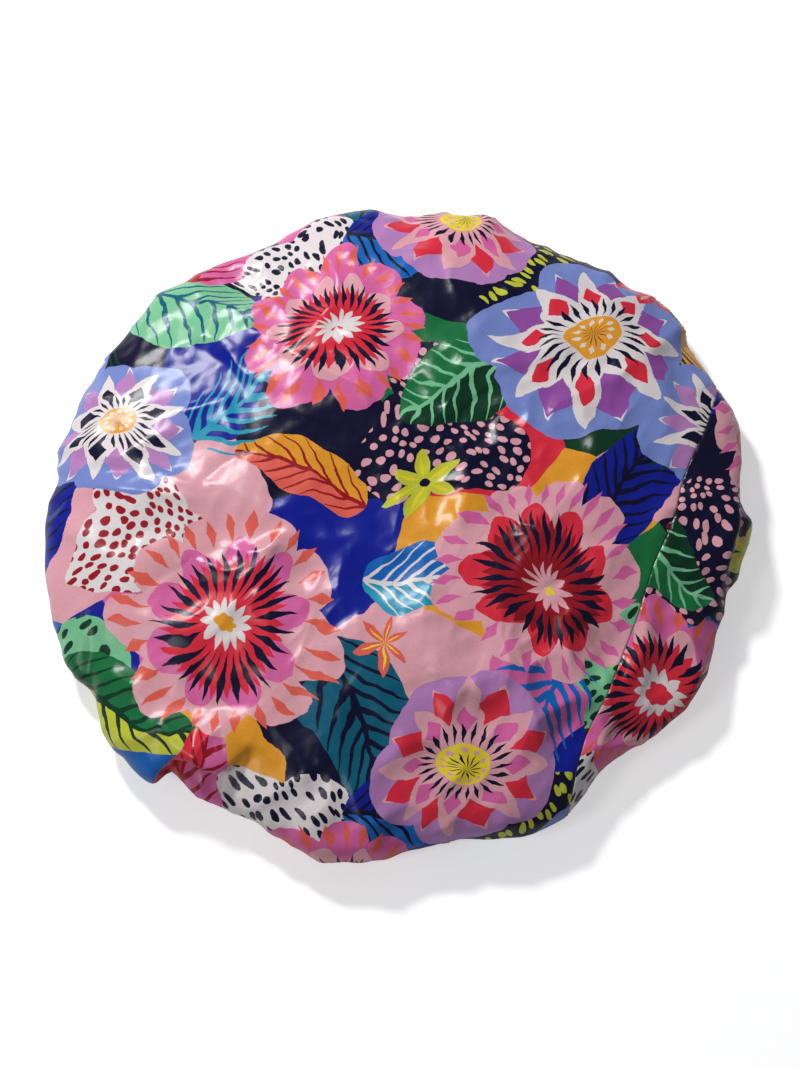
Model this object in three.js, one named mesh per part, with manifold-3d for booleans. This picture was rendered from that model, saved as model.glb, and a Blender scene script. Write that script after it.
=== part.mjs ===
// A satin hair bonnet lying flat on a table, crown up, with its elastic relaxed.
// The cut circle of printed satin is pieced from two panels along one straight seam. It is lined with
// plain satin, and both edges are gathered into a folded casing that holds a strip of elastic.
// Millimetres, +Z up. The origin is on the table, under the middle of the bonnet's outline.
import * as THREE from 'three';
import { mergeVertices } from 'three/addons/utils/BufferGeometryUtils.js';
import Module from 'manifold-3d';

// Overall form
const RIM_RADIUS = 176; // plan radius at the widest line, before the lobes
const CROWN_HEIGHT = 42; // table to the top of the crown, before its rises and hollows
const RIM_HEIGHT = 15; // table to the widest line
const RIM_TUCK = 24; // how far the cloth rolls in from the widest line before it lies flat
const TABLE_CLEARANCE = 0.3; // between the gathered cloth and the table
const FLUTE_DEPTH = 6; // dip of the crown's shoulder between two lobes

// Cloth
const SATIN_THICKNESS = 0.6; // printed outer layer, with the loft that it has when crumpled
const LINING_THICKNESS = 0.5;
const LAYER_GAP = 0.35; // air between the outer layer and the lining
const SIDE_PANEL_DEPTH = 47; // across the crown, from the straight seam to the mean rim
const SEAM_GAP = 0.3; // between the two panels' folded edges
const GATHER_HEIGHT = 8; // how far the gathers beside the casing stand off the table

// Casing and elastic
const NECK_RADIUS = 66; // inside of the casing, elastic relaxed
const CASING_CLOTH = 0.6;
const CASING_RUCHE = 0.8; // ripple of the casing's upper side
const FOLD_ROUND = 1.2; // rounding of the casing's folded edge
const PINCH_RUN = 2.5; // where the casing narrows from the elastic to its lips
const GRIP_DEPTH = 5; // how far the gathered edges reach between the lips
const ELASTIC_WIDTH = 12;
const ELASTIC_THICKNESS = 1.2;
const ELASTIC_LAP = 15; // overlap of the strip's two sewn ends
const LAP_RISE_RUN = 22; // along the strip, where its end climbs onto its start
const CLEARANCE = 0.3; // between pieces that touch in use
const OVERRUN = 2; // how far cutting tools pass through what they cut

// Counts and directions
const SEAM_TURN = THREE.MathUtils.degToRad(-20); // direction from the crown's centre to the seam
const UNDERSIDE_SEAM_STEPS = 12;
const ELASTIC_STEPS = 54;
const CROWN_FULLNESS = 3.2; // 2 is an ellipse, and more is a flatter crown with a rounder shoulder
const LOBE_FADE = 5; // more keeps the lobes nearer to the rim
const FULL_TURN = 2 * Math.PI;

// Crests and valleys of the scalloped rim: direction in degrees, and plan radius as a share of RIM_RADIUS.
// Under the rim the cloth stands up in one gather in each of these directions.
const LOBE_SHARES = [
  [5, 0.976], [16, 1.014], [27, 1.0], [41, 1.034], [50, 0.989], [66, 0.97], [77, 1.004],
  [90, 0.973], [101, 0.992], [116, 0.945], [134, 1.002], [144, 0.977], [167, 1.009], [175, 0.993],
  [196, 1.02], [213, 1.005], [223, 1.035], [234, 0.975], [246, 0.961], [257, 1.003], [277, 0.95],
  [294, 0.981], [308, 0.917], [328, 0.966], [342, 0.941], [355, 1.005],
];
const SHOULDER_SHARE = 0.91; // where the flutes between the lobes are deepest
const FLUTE_REACH_SHARE = 0.3; // how far they fade from there, towards the centre
const DEEPEST_VALLEY_SHARE = 0.92; // a lobe share this small has the full flute depth
const INNER_RING_SHARES = [0.2, 0.4]; // rings by the crown's centre, with a point on each gather only
const CROWN_RING_SHARES = [0.6, 0.82, 0.94, 0.988, 1];
const TUCK_RING_SHARES = [0.32, 0.66, 1];
const RUN_RING_SHARES = [0.8];

// Soft rises and hollows of the crown, left by folding and handling, each round in plan: x and y of its
// middle, its height, and the reach at which it has fallen off to a third. Places and reaches are shares
// of RIM_RADIUS, and heights are shares of the crown's rise above the widest line.
const RELIEF_SHARES = [
  [-0.26, 0.4, 0.09, 0.22], [0.03, 0.23, 0.075, 0.18], [-0.1, -0.05, -0.095, 0.24],
  [0.27, 0.5, -0.065, 0.23], [0.41, 0.1, 0.065, 0.22], [-0.59, -0.08, 0.06, 0.2],
  [-0.33, -0.44, -0.05, 0.22], [0.17, -0.5, 0.075, 0.24], [0.57, -0.33, -0.045, 0.18],
  [-0.64, 0.28, -0.05, 0.18], [0.01, 0.75, 0.045, 0.18],
];

// Longer folds, in the same shares: x and y of one end and of the other, the height, and the reach.
const FOLD_SHARES = [
  [-0.46, 0.54, -0.21, 0.37, 0.067, 0.074], [-0.21, 0.37, 0.09, 0.18, 0.133, 0.074],
  [0.07, 0.35, 0.14, 0.29, 0.05, 0.05], [0.16, 0.43, 0.23, 0.37, 0.037, 0.05],
  [-0.85, 0.04, -0.59, -0.01, 0.067, 0.07],
];

// What follows from those sizes
const SEAM_OFFSET = RIM_RADIUS - SIDE_PANEL_DEPTH;
const CHANNEL_HEIGHT = 2 * ELASTIC_THICKNESS + 3 * CLEARANCE;
const MOUTH_HEIGHT = SATIN_THICKNESS + LAYER_GAP + LINING_THICKNESS + 2 * CLEARANCE;
const ELASTIC_INNER = NECK_RADIUS + CASING_CLOTH + CLEARANCE;
const ELASTIC_OUTER = ELASTIC_INNER + ELASTIC_WIDTH;
const PINCH_RADIUS = ELASTIC_OUTER + CLEARANCE;
const GATHERED_EDGE = PINCH_RADIUS + PINCH_RUN + CLEARANCE;
const LIP_RADIUS = GATHERED_EDGE + GRIP_DEPTH;
const MOUTH_FLOOR = CASING_CLOTH + CLEARANCE;

// The lobe share in a direction: half cosine waves between the listed crests and valleys.
function lobeShare(angle) {
  const degrees = THREE.MathUtils.euclideanModulo(THREE.MathUtils.radToDeg(angle), 360);
  const next = LOBE_SHARES.findIndex(([at]) => at > degrees);
  const [toDegrees, toShare] = LOBE_SHARES[next < 0 ? 0 : next];
  const [fromDegrees, fromShare] = LOBE_SHARES.at((next < 0 ? 0 : next) - 1);
  const span = THREE.MathUtils.euclideanModulo(toDegrees - fromDegrees, 360);
  const along = THREE.MathUtils.euclideanModulo(degrees - fromDegrees, 360) / span;
  return fromShare + ((toShare - fromShare) * (1 - Math.cos(Math.PI * along))) / 2;
}

function rimRadius(angle) {
  return RIM_RADIUS * lobeShare(angle);
}

function polar(radius, angle, height) {
  return new THREE.Vector3(radius * Math.cos(angle), radius * Math.sin(angle), height);
}

// How far the crown stands above or below its plain dome, as a share of its rise. The place in plan is
// in shares of RIM_RADIUS.
function reliefShare(x, y) {
  const place = new THREE.Vector3(x, y, 0);
  const nearest = new THREE.Vector3();
  const rises = RELIEF_SHARES.map(([atX, atY, height, reach]) =>
    height * Math.exp(-(((x - atX) / reach) ** 2) - ((y - atY) / reach) ** 2));
  const folds = FOLD_SHARES.map(([fromX, fromY, toX, toY, height, reach]) => {
    const line = new THREE.Line3(new THREE.Vector3(fromX, fromY, 0), new THREE.Vector3(toX, toY, 0));
    line.closestPointToPoint(place, true, nearest);
    return height * Math.exp(-((place.distanceTo(nearest) / reach) ** 2));
  });
  return [...rises, ...folds].reduce((sum, height) => sum + height, 0);
}

// The crown: a flattened dome whose lobes fade towards the centre, with a flute between each two.
function crownPoint(share, angle) {
  const lobe = lobeShare(angle);
  const outward = share + (lobe - 1) * share ** LOBE_FADE;
  const dome = Math.sqrt(1 - share ** CROWN_FULLNESS);
  const valley = THREE.MathUtils.clamp((1 - lobe) / (1 - DEEPEST_VALLEY_SHARE), 0, 1);
  const nearShoulder = Math.max(0, 1 - ((share - SHOULDER_SHARE) / FLUTE_REACH_SHARE) ** 2);
  const flute = FLUTE_DEPTH * valley * nearShoulder * dome;
  const rise = dome * (1 + reliefShare(outward * Math.cos(angle), outward * Math.sin(angle)));
  const height = RIM_HEIGHT + (CROWN_HEIGHT - RIM_HEIGHT) * rise - flute;
  return polar(RIM_RADIUS * outward, angle, height);
}

// The roll under the rim: a quarter of an ellipse from the widest line down to the table.
function tuckPoint(share, angle) {
  const turn = (share * Math.PI) / 2;
  const radius = rimRadius(angle) - RIM_TUCK * (1 - Math.cos(turn));
  return polar(radius, angle, RIM_HEIGHT - (RIM_HEIGHT - TABLE_CLEARANCE) * Math.sin(turn));
}

// The underside: flat on the table by the rim. Along a gather it stands up towards the casing.
function runPoint(share, angle, isGather) {
  const radius = THREE.MathUtils.lerp(rimRadius(angle) - RIM_TUCK, LIP_RADIUS + OVERRUN, share);
  const base = THREE.MathUtils.lerp(TABLE_CLEARANCE, MOUTH_FLOOR, share);
  const stand = isGather ? GATHER_HEIGHT * Math.sin((share * Math.PI) / 2) : 0;
  return polar(radius, angle, base + stand);
}

// The cloth's radial lines: along each gather, and along each valley halfway between two gathers.
const lines = LOBE_SHARES.flatMap(([degrees], i) => {
  const [next] = LOBE_SHARES[(i + 1) % LOBE_SHARES.length];
  const halfway = degrees + THREE.MathUtils.euclideanModulo(next - degrees, 360) / 2;
  return [
    { angle: THREE.MathUtils.degToRad(degrees), isGather: true },
    { angle: THREE.MathUtils.degToRad(halfway), isGather: false },
  ];
});

// The outer face of the cloth, as rings of points from the crown's centre to the gathered edge.
function clothRings() {
  const gathers = lines.filter(({ isGather }) => isGather);
  return [
    ...INNER_RING_SHARES.map((share) => gathers.map(({ angle }) => crownPoint(share, angle))),
    ...CROWN_RING_SHARES.map((share) => lines.map(({ angle }) => crownPoint(share, angle))),
    ...TUCK_RING_SHARES.map((share) => lines.map(({ angle }) => tuckPoint(share, angle))),
    ...RUN_RING_SHARES.map((share) =>
      lines.map(({ angle, isGather }) => runPoint(share, angle, isGather))),
    lines.map(({ angle }) => polar(LIP_RADIUS + OVERRUN, angle, MOUTH_FLOOR)),
    lines.map(({ angle }) => polar(GATHERED_EDGE, angle, MOUTH_FLOOR)),
  ];
}

// Triangles between two rings of points, where the outer ring has as many points as the inner one, or
// twice as many.
function bandTriangles(inner, outer) {
  const step = outer.length / inner.length;
  return inner.flatMap((here, k) => {
    const next = inner[(k + 1) % inner.length];
    const along = Array.from({ length: step + 1 }, (_, i) => outer[(k * step + i) % outer.length]);
    const first = [[here, along[0], along[1]], [here, along[1], next]];
    return step > 1 ? [...first, [next, along[1], along[2]]] : first;
  });
}

// Triangles of a disc of rings round the point 0. The first ring starts at point 1.
function discTriangles(rings) {
  let count = 1;
  const numbered = rings.map((ring) => ring.map(() => count++));
  const [first] = numbered;
  const middle = first.map((here, k) => [0, here, first[(k + 1) % first.length]]);
  const bands = numbered.slice(1).flatMap((ring, i) => bandTriangles(numbered[i], ring));
  return [...middle, ...bands];
}

function geometryOf(points, triangles) {
  const geometry = new THREE.BufferGeometry().setFromPoints(points);
  geometry.setIndex(triangles.flat());
  geometry.computeVertexNormals();
  return geometry;
}

// The cloth's outer face as an open sheet, with its normals.
const rings = clothRings();
const sheetPoints = [crownPoint(0, 0), ...rings.flat()];
const sheetTriangles = discTriangles(rings);
const sheet = geometryOf(sheetPoints, sheetTriangles);

function sheetInwards(distance) {
  const normals = sheet.getAttribute('normal');
  const normal = new THREE.Vector3();
  return sheetPoints.map((point, i) =>
    point.clone().addScaledVector(normal.fromBufferAttribute(normals, i), -distance));
}

// One closed layer of cloth between two depths under the sheet, with a wall along its gathered edge.
function clothLayer(depth, thickness) {
  const outside = sheetInwards(depth);
  const inside = sheetInwards(depth + thickness);
  const count = outside.length;
  const edge = count - lines.length;
  const wall = lines.flatMap((_, k) => {
    const here = edge + k;
    const next = edge + ((k + 1) % lines.length);
    return [[here, count + here, next], [next, count + here, count + next]];
  });
  const turned = sheetTriangles.map(([a, b, c]) => [count + a, count + c, count + b]);
  return geometryOf([...outside, ...inside], [...sheetTriangles, ...turned, ...wall]);
}

// Joins loops of equally many points into one closed body, as a ring or as a strip with capped ends.
function loft(loops, isRing) {
  const size = loops[0].length;
  const at = (loop, k) => (loop % loops.length) * size + (k % size);
  const triangles = [];
  const joins = isRing ? loops.length : loops.length - 1;
  for (let loop = 0; loop < joins; loop += 1) {
    for (let k = 0; k < size; k += 1) {
      triangles.push([at(loop, k), at(loop, k + 1), at(loop + 1, k + 1)]);
      triangles.push([at(loop, k), at(loop + 1, k + 1), at(loop + 1, k)]);
    }
  }
  if (!isRing) {
    for (let k = 1; k < size - 1; k += 1) {
      triangles.push([at(0, 0), at(0, k + 1), at(0, k)]);
      triangles.push([at(joins, 0), at(joins, k), at(joins, k + 1)]);
    }
  }
  return geometryOf(loops.flat(), triangles);
}

// The casing: a strip folded in half round the elastic, its two lips gripping the gathered edges.
// Its upper side is ruched along the gathers. Its lower side lies flat on the table.
function casingSection({ angle, isGather }) {
  const top = 2 * CASING_CLOTH + CHANNEL_HEIGHT + (isGather ? CASING_RUCHE : 0);
  const channelTop = top - CASING_CLOTH;
  const lipTop = 2 * CASING_CLOTH + MOUTH_HEIGHT;
  const fold = NECK_RADIUS + CASING_CLOTH;
  const section = [
    [NECK_RADIUS + FOLD_ROUND, 0],
    [NECK_RADIUS, FOLD_ROUND],
    [NECK_RADIUS, top - FOLD_ROUND],
    [NECK_RADIUS + FOLD_ROUND, top],
    [PINCH_RADIUS, top],
    [PINCH_RADIUS + PINCH_RUN, lipTop],
    [LIP_RADIUS, lipTop],
    [LIP_RADIUS, lipTop - CASING_CLOTH],
    [PINCH_RADIUS + PINCH_RUN, lipTop - CASING_CLOTH],
    [PINCH_RADIUS, channelTop],
    [fold, channelTop],
    [fold, CASING_CLOTH],
    [LIP_RADIUS, CASING_CLOTH],
    [LIP_RADIUS, 0],
  ];
  return section.map(([radius, height]) => polar(radius, angle, height));
}

// The elastic: one flat strip bent round into a ring. It climbs before its end laps over its start.
function makeElastic() {
  const middle = (ELASTIC_INNER + ELASTIC_OUTER) / 2;
  const length = FULL_TURN * middle + ELASTIC_LAP;
  const rise = ELASTIC_THICKNESS + CLEARANCE;
  const sections = Array.from({ length: ELASTIC_STEPS + 1 }, (_, k) => {
    const along = (k * length) / ELASTIC_STEPS;
    const climb = THREE.MathUtils.smoothstep(
      along,
      length - 2 * ELASTIC_LAP - LAP_RISE_RUN,
      length - 2 * ELASTIC_LAP,
    );
    const low = MOUTH_FLOOR + rise * climb;
    const angle = along / middle;
    return [
      polar(ELASTIC_INNER, angle, low),
      polar(ELASTIC_INNER, angle, low + ELASTIC_THICKNESS),
      polar(ELASTIC_OUTER, angle, low + ELASTIC_THICKNESS),
      polar(ELASTIC_OUTER, angle, low),
    ];
  });
  return loft(sections, false);
}

const wasm = await Module();
wasm.setup();

function solidOf(geometry) {
  const bare = geometry.clone();
  bare.deleteAttribute('normal');
  bare.deleteAttribute('uv');
  const merged = mergeVertices(bare);
  return new wasm.Manifold(new wasm.Mesh({
    numProp: 3,
    vertProperties: merged.getAttribute('position').array,
    triVerts: new Uint32Array(merged.index.array),
  }));
}

function geometryFrom(solid) {
  const mesh = solid.getMesh();
  const geometry = new THREE.BufferGeometry();
  geometry.setAttribute('position', new THREE.BufferAttribute(mesh.vertProperties, mesh.numProp));
  geometry.setIndex(new THREE.BufferAttribute(mesh.triVerts, 1));
  geometry.computeVertexNormals();
  return geometry;
}

// Where the seam meets the widest line, as an angle from the seam's own direction, on one side of it.
function seamReach(side) {
  let turn = 0;
  while (rimRadius(SEAM_TURN + side * turn) * Math.cos(turn) > SEAM_OFFSET) turn += FULL_TURN / 3600;
  return turn;
}

// The seam across the crown: one thin upright wall, cutting only what is above the widest line.
function crownSeamCutter() {
  const low = RIM_HEIGHT - 2 * CLEARANCE;
  const height = CROWN_HEIGHT + OVERRUN - low;
  const wall = new THREE.BoxGeometry(SEAM_GAP, 2 * RIM_RADIUS, height);
  wall.translate(SEAM_OFFSET, 0, low + height / 2);
  wall.rotateZ(SEAM_TURN);
  return wall;
}

// The seam under the rim. On the flat cut it is still the same straight chord, so at a distance s
// from the centre it lies at the angle acos(SEAM_OFFSET / s), while the cloth itself turns back inwards.
// Through the cloth's thickness at the rim the cutter first keeps to the crown seam's own line.
function undersideSeamCutter(side) {
  const rim = rimRadius(SEAM_TURN + side * seamReach(side));
  const inner = rim - OVERRUN;
  const fold = Math.acos(SEAM_OFFSET / inner);
  const roll = (Math.PI / 2) * Math.sqrt((RIM_TUCK ** 2 + RIM_HEIGHT ** 2) / 2);
  const turnAt = (radius) => {
    if (radius >= inner) return Math.acos(SEAM_OFFSET / radius);
    const inwards = inner - radius;
    const rolled = roll * Math.min(1, inwards / RIM_TUCK) + Math.max(0, inwards - RIM_TUCK);
    return fold + Math.acos(SEAM_OFFSET / (rim + rolled)) - Math.acos(SEAM_OFFSET / rim);
  };
  const end = GATHERED_EDGE - OVERRUN;
  const radii = [rim + 2 * OVERRUN];
  for (let step = 0; step <= UNDERSIDE_SEAM_STEPS; step += 1) {
    radii.push(THREE.MathUtils.lerp(inner, end, step / UNDERSIDE_SEAM_STEPS));
  }
  const sections = radii.map((radius) => {
    const turn = turnAt(radius);
    const halfTurn = SEAM_GAP / 2 / (radius * Math.sin(turn));
    const near = SEAM_TURN + side * turn - halfTurn;
    const far = SEAM_TURN + side * turn + halfTurn;
    const top = RIM_HEIGHT - CLEARANCE;
    return [
      polar(radius, near, -OVERRUN),
      polar(radius, near, top),
      polar(radius, far, top),
      polar(radius, far, -OVERRUN),
    ];
  });
  return loft(sections, false);
}

// The outer layer, cut along the seam into the large crown panel and the small side panel.
function makePanels() {
  const cutters = [crownSeamCutter(), undersideSeamCutter(1), undersideSeamCutter(-1)];
  const cut = cutters.reduce(
    (cloth, cutter) => cloth.subtract(solidOf(cutter)),
    solidOf(clothLayer(0, SATIN_THICKNESS)),
  );
  const panels = cut.decompose().sort((a, b) => b.volume() - a.volume());
  return { crown: geometryFrom(panels[0]), side: geometryFrom(panels[1]) };
}

const PRINTED = { color: 0xc77f9f, roughness: 0.35, metalness: 0 };
const panels = makePanels();
const pieces = [
  ['crown_panel', panels.crown, PRINTED],
  ['side_panel', panels.side, PRINTED],
  ['lining', clothLayer(SATIN_THICKNESS + LAYER_GAP, LINING_THICKNESS), { color: 0x1f4fa8, roughness: 0.35 }],
  ['elastic_casing', loft(lines.map(casingSection), true), { color: 0x1f4fa8, roughness: 0.4 }],
  ['elastic_band', makeElastic(), { color: 0xf2f1ec, roughness: 0.9 }],
];

// The outline's lobes aren't even, so the whole is moved to put the origin under its middle.
const middle = new THREE.Box3().setFromBufferAttribute(sheet.getAttribute('position'))
  .getCenter(new THREE.Vector3());

const bonnet = new THREE.Group();
bonnet.name = 'hair_bonnet';
bonnet.position.set(-middle.x, -middle.y, 0);
for (const [name, geometry, look] of pieces) {
  const mesh = new THREE.Mesh(geometry, new THREE.MeshStandardMaterial(look));
  mesh.name = name;
  bonnet.add(mesh);
}

export default bonnet;
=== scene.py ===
"""A satin hair bonnet lying crown up on a pale table, laid out as a Blender add-on.

The printed cloth is a pieced circle. Each point of it has a distance from the circle's middle and a
direction, and the formulas below lay it over the crown, round the rim and under it into the casing.
Lengths are metres. The bonnet lies on the plane of height 0, with its seam towards +X.
"""

import math

import bpy
import numpy as np
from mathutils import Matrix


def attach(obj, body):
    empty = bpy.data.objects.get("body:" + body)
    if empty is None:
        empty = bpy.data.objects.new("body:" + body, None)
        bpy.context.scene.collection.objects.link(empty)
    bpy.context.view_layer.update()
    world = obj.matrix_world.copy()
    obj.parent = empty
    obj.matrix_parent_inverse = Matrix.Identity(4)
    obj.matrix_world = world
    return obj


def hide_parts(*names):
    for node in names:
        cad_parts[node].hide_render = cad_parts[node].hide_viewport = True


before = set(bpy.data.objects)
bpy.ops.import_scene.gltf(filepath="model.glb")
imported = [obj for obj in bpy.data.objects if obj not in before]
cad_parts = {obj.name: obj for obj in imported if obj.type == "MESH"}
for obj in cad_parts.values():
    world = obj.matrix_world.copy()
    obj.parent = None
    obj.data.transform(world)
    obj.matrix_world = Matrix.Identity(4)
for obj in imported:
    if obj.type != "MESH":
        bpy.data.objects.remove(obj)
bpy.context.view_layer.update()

bl_info = {
    "name": "Hair Bonnet",
    "version": (1, 0, 0),
    "blender": (4, 5, 0),
    "location": "View3D > Sidebar > Hair Bonnet",
    "description": "Builds a gathered satin hair bonnet, its materials and a studio stage",
    "category": "Object",
}

MM = 0.001
SEED = 4805

# The crown's form: powers of its flattened dome and of the lobes' growth towards the rim, how deep a
# valley is that has its full flute, and the middle and reach of the flutes, as shares of the radius.
DOME_FULLNESS = 3.2
LOBE_POWER = 5
FULL_VALLEY = 0.08
SHOULDER = 0.91
SHOULDER_REACH = 0.3

# Height of the gathered edge in the casing's mouth, in metres.
MOUTH_HEIGHT = 0.95 * MM

# Seeded waves of the cloth in millimetres: how many, shortest and longest length, and height.
SWELLS = (14, 50, 110, 0.6)
SLACK = (6, 90, 160, 1.4)
FOLDS = ((12, 34, 90, 1.5), (16, 16, 40, 0.45))
RIPPLES = (24, 6, 13, 0.05)
PUCKERS = 54

# In millimetres: how deep the two rows of the seam allowance lie, and how far in from the casing's lips
# the rows of stitches are.
ALLOWANCE = (1, 2.2)
STITCH_INSETS = (4.0, 1.4)

# How far out a lap still moves the cloth beside it, over half the width of its turned cloth.
LAP_SPREAD = 2.6

# Where the small panel's print is cut from: its turn in degrees and its shift in metres.
SIDE_PRINT_TURN = 115
SIDE_PRINT_SHIFT = (0.41, 0.17)

# How much of the weave's pattern goes round the casing, in metres for each radian.
CASING_WEAVE = 0.115

# How fine the meshes are: rows over the cloth, and columns round it.
CROWN_ROWS, CROWN_COLUMNS = 158, 580
SIDE_ROWS, SIDE_COLUMNS = 92, 700
LINING_ROWS, LINING_COLUMNS = 84, 416
CASING_COLUMNS = 880

# Corners of a face taken the other way round from the same first corner.
FLIPPED = [0, 3, 2, 1]

# Crests and valleys of the scalloped rim: direction in degrees, and radius as a share of the rim's.
LOBES = (
    (5, 0.976), (16, 1.014), (27, 1.0), (41, 1.034), (50, 0.989), (66, 0.97), (77, 1.004),
    (90, 0.973), (101, 0.992), (116, 0.945), (134, 1.002), (144, 0.977), (167, 1.009), (175, 0.993),
    (196, 1.02), (213, 1.005), (223, 1.035), (234, 0.975), (246, 0.961), (257, 1.003), (277, 0.95),
    (294, 0.981), (308, 0.917), (328, 0.966), (342, 0.941), (355, 1.005),
)

# Soft rises and hollows of the crown: the middle in plan and the reach as shares of the rim's radius,
# and between them the height as a share of the crown's rise above the rim.
RELIEFS = (
    (-0.26, 0.4, 0.09, 0.22), (0.03, 0.23, 0.075, 0.18), (-0.1, -0.05, -0.095, 0.24),
    (0.27, 0.5, -0.065, 0.23), (0.41, 0.1, 0.065, 0.22), (-0.59, -0.08, 0.06, 0.2),
    (-0.33, -0.44, -0.05, 0.22), (0.17, -0.5, 0.075, 0.24), (0.57, -0.33, -0.045, 0.18),
    (-0.64, 0.28, -0.05, 0.18), (0.01, 0.75, 0.045, 0.18),
)

# Where the middle of the ring and the circle is, from the middle of the uneven outline, in metres.
CENTRE = (0.00023, -0.00037, 0)

# Creases of the crown in millimetres: height, reach to the left and to the right, and the line's points.
CREASES = (
    (3.0, 14, 7, ((-81, 95), (-62, 81), (-37, 65), (0, 44), (16, 32))),
    (1.8, 8, 5, ((-10, 61), (4, 47), (16, 34))),
    (1.6, 6, 6, ((23, 84), (32, 72), (41, 65))),
    (2.2, 9, 5, ((8, 68), (18, 57), (24, 51))),
    (1.4, 6, 5, ((17, 30), (34, 23))),
    (1.0, 5, 5, ((45, 73), (61, 78))),
    (0.8, 4, 4, ((21, 137), (28, 134))),
    (0.8, 4, 4, ((52, 118), (59, 113))),
    (0.9, 6, 5, ((87, 78), (104, 83))),
    (2.3, 6, 5, ((-154, 8), (-122, 1), (-99, -2))),
    (0.9, 4, 5, ((-141, 5), (-131, -7), (-122, 1))),
    (-1.4, 6, 6, ((-127, -49), (-108, -37), (-92, -29))),
    (0.8, 6, 4, ((-127, -18), (-130, -45))),
    (0.9, 5, 5, ((-144, 19), (-129, 29))),
    (0.9, 5, 5, ((-122, 32), (-108, 38))),
    (1.8, 7, 9, ((-118, 46), (-100, 47), (-84, 53))),
    (0.9, 6, 5, ((-63, 47), (-42, 40))),
    (0.9, 5, 4, ((-163, -60), (-151, -53))),
    (0.9, 4, 3, ((-29, 140), (-24, 134))),
    (0.9, 4, 3, ((-63, 106), (-56, 102))),
    (0.9, 4, 3, ((-46, 95), (-38, 90))),
    (0.8, 4, 3, ((-14, 129), (-11, 126))),
    (1.0, 5, 4, ((-31, 91), (-20, 82))),
    (1.7, 6, 6, ((-90, -24), (-72, -30), (-55, -26))),
    (-2.0, 5, 7, ((-149, -62), (-150, -88), (-147, -112))),
    (1.7, 6, 5, ((-30, -123), (-22, -144), (-13, -168))),
    (1.0, 7, 5, ((0, -56), (22, -64), (39, -67))),
    (0.9, 5, 4, ((16, -99), (24, -110))),
    (0.9, 6, 4, ((96, -61), (101, -73))),
    (1.0, 5, 5, ((106, -101), (113, -114))),
    (0.8, 5, 4, ((142, 4), (158, 4))),
    (1.0, 6, 4, ((25, -2), (31, -19))),
    (1.0, 6, 4, ((56, -32), (64, -45))),
    (1.2, 7, 5, ((44, -152), (52, -162))),
    (3.8, 5, 8, ((-126, -118), (-112, -113), (-97, -122), (-84, -115), (-66, -124))),
    (-1.9, 8, 5, ((-116, -99), (-94, -105), (-74, -104))),
    (2.2, 4, 7, ((-142, -84), (-128, -92), (-117, -104))),
    (1.6, 5, 7, ((-60, -112), (-48, -126), (-44, -142))),
    (1.5, 6, 5, ((-37, -86), (-30, -102), (-25, -118))),
    (2.0, 5, 4, ((14, -86), (26, -96), (44, -104))),
    (1.8, 4, 6, ((50, -82), (60, -98), (64, -120))),
    (1.6, 5, 4, ((84, -66), (96, -84), (100, -104))),
    (1.6, 4, 6, ((60, -56), (78, -62), (98, -58))),
    (1.2, 9, 9, ((70, -96), (100, -104))),
    (1.1, 6, 8, ((-64, -148), (-50, -136))),
)

# Where the rim's cloth laps over itself, in millimetres: the line's two ends, how far the line wanders
# at stations along it, half the width of the turned cloth, the lap as a share of it, and the step down.
LAPS = (
    ((-118, -139), (-68, -127),
     ((-12, 0), (0, 0), (7, -4), (14, -6), (20, -3), (26, 3), (33, 6), (42, 4), (54, 0)), 8, 0.8, 3.2),
    ((171, 17), (158, -47), ((0, 0), (30, 3), (60, 0)), 6, 0.55, 2.2),
)


def metres(title, value, use):
    """A length property, in metres."""
    return bpy.props.FloatProperty(name=title, description=use, default=value, unit="LENGTH")


class BonnetSizes(bpy.types.PropertyGroup):
    """Sizes of the bonnet."""

    rim_radius: metres("Rim radius", 0.176, "Mean plan radius at the widest line")
    crown_height: metres("Crown height", 0.042, "Table to the top of the crown")
    rim_height: metres("Rim height", 0.015, "Table to the widest line")
    rim_tuck: metres("Rim tuck", 0.024, "How far the cloth rolls in before it lies on the table")
    flute_depth: metres("Flute depth", 0.006, "Dip of the shoulder between two lobes")
    side_panel_depth: metres("Side panel depth", 0.047, "From the straight seam to the mean rim")
    seam_turn: bpy.props.FloatProperty(
        name="Seam turn", description="Direction from the middle to the seam",
        default=math.radians(-20), subtype="ANGLE")
    table_gap: metres("Table gap", 0.0003, "Between the lowest cloth and the table")
    gather_height: metres("Gather height", 0.0145, "How high the gathers stand beside the casing")
    neck_radius: metres("Neck radius", 0.066, "Inside of the casing with its elastic relaxed")
    lip_radius: metres("Lip radius", 0.087, "Outer edge of the casing's two lips")
    gathered_edge: metres("Gathered edge", 0.082, "Radius where the gathered cloth ends in the casing")
    lining_depth: metres("Lining depth", 0.0011, "From the printed face to the lining's face")
    lining_cloth: metres("Lining cloth", 0.0003, "Thickness of the lining")
    elastic_width: metres("Elastic width", 0.012, "Width of the elastic strip")
    elastic_thickness: metres("Elastic thickness", 0.0012, "Thickness of the elastic strip")
    thread_width: metres("Thread width", 0.00035, "Width of the sewing thread")
    stitch_length: metres("Stitch length", 0.0024, "One stitch of the casing's seams")
    print_repeat: metres("Print repeat", 0.3, "Side of the print's repeating square")


def shade(title, value, use):
    """A colour property, given as it looks on a screen."""
    return bpy.props.FloatVectorProperty(
        name=title, description=use, default=[part / 255 for part in value], size=3,
        min=0, max=1, subtype="COLOR_GAMMA")


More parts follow.
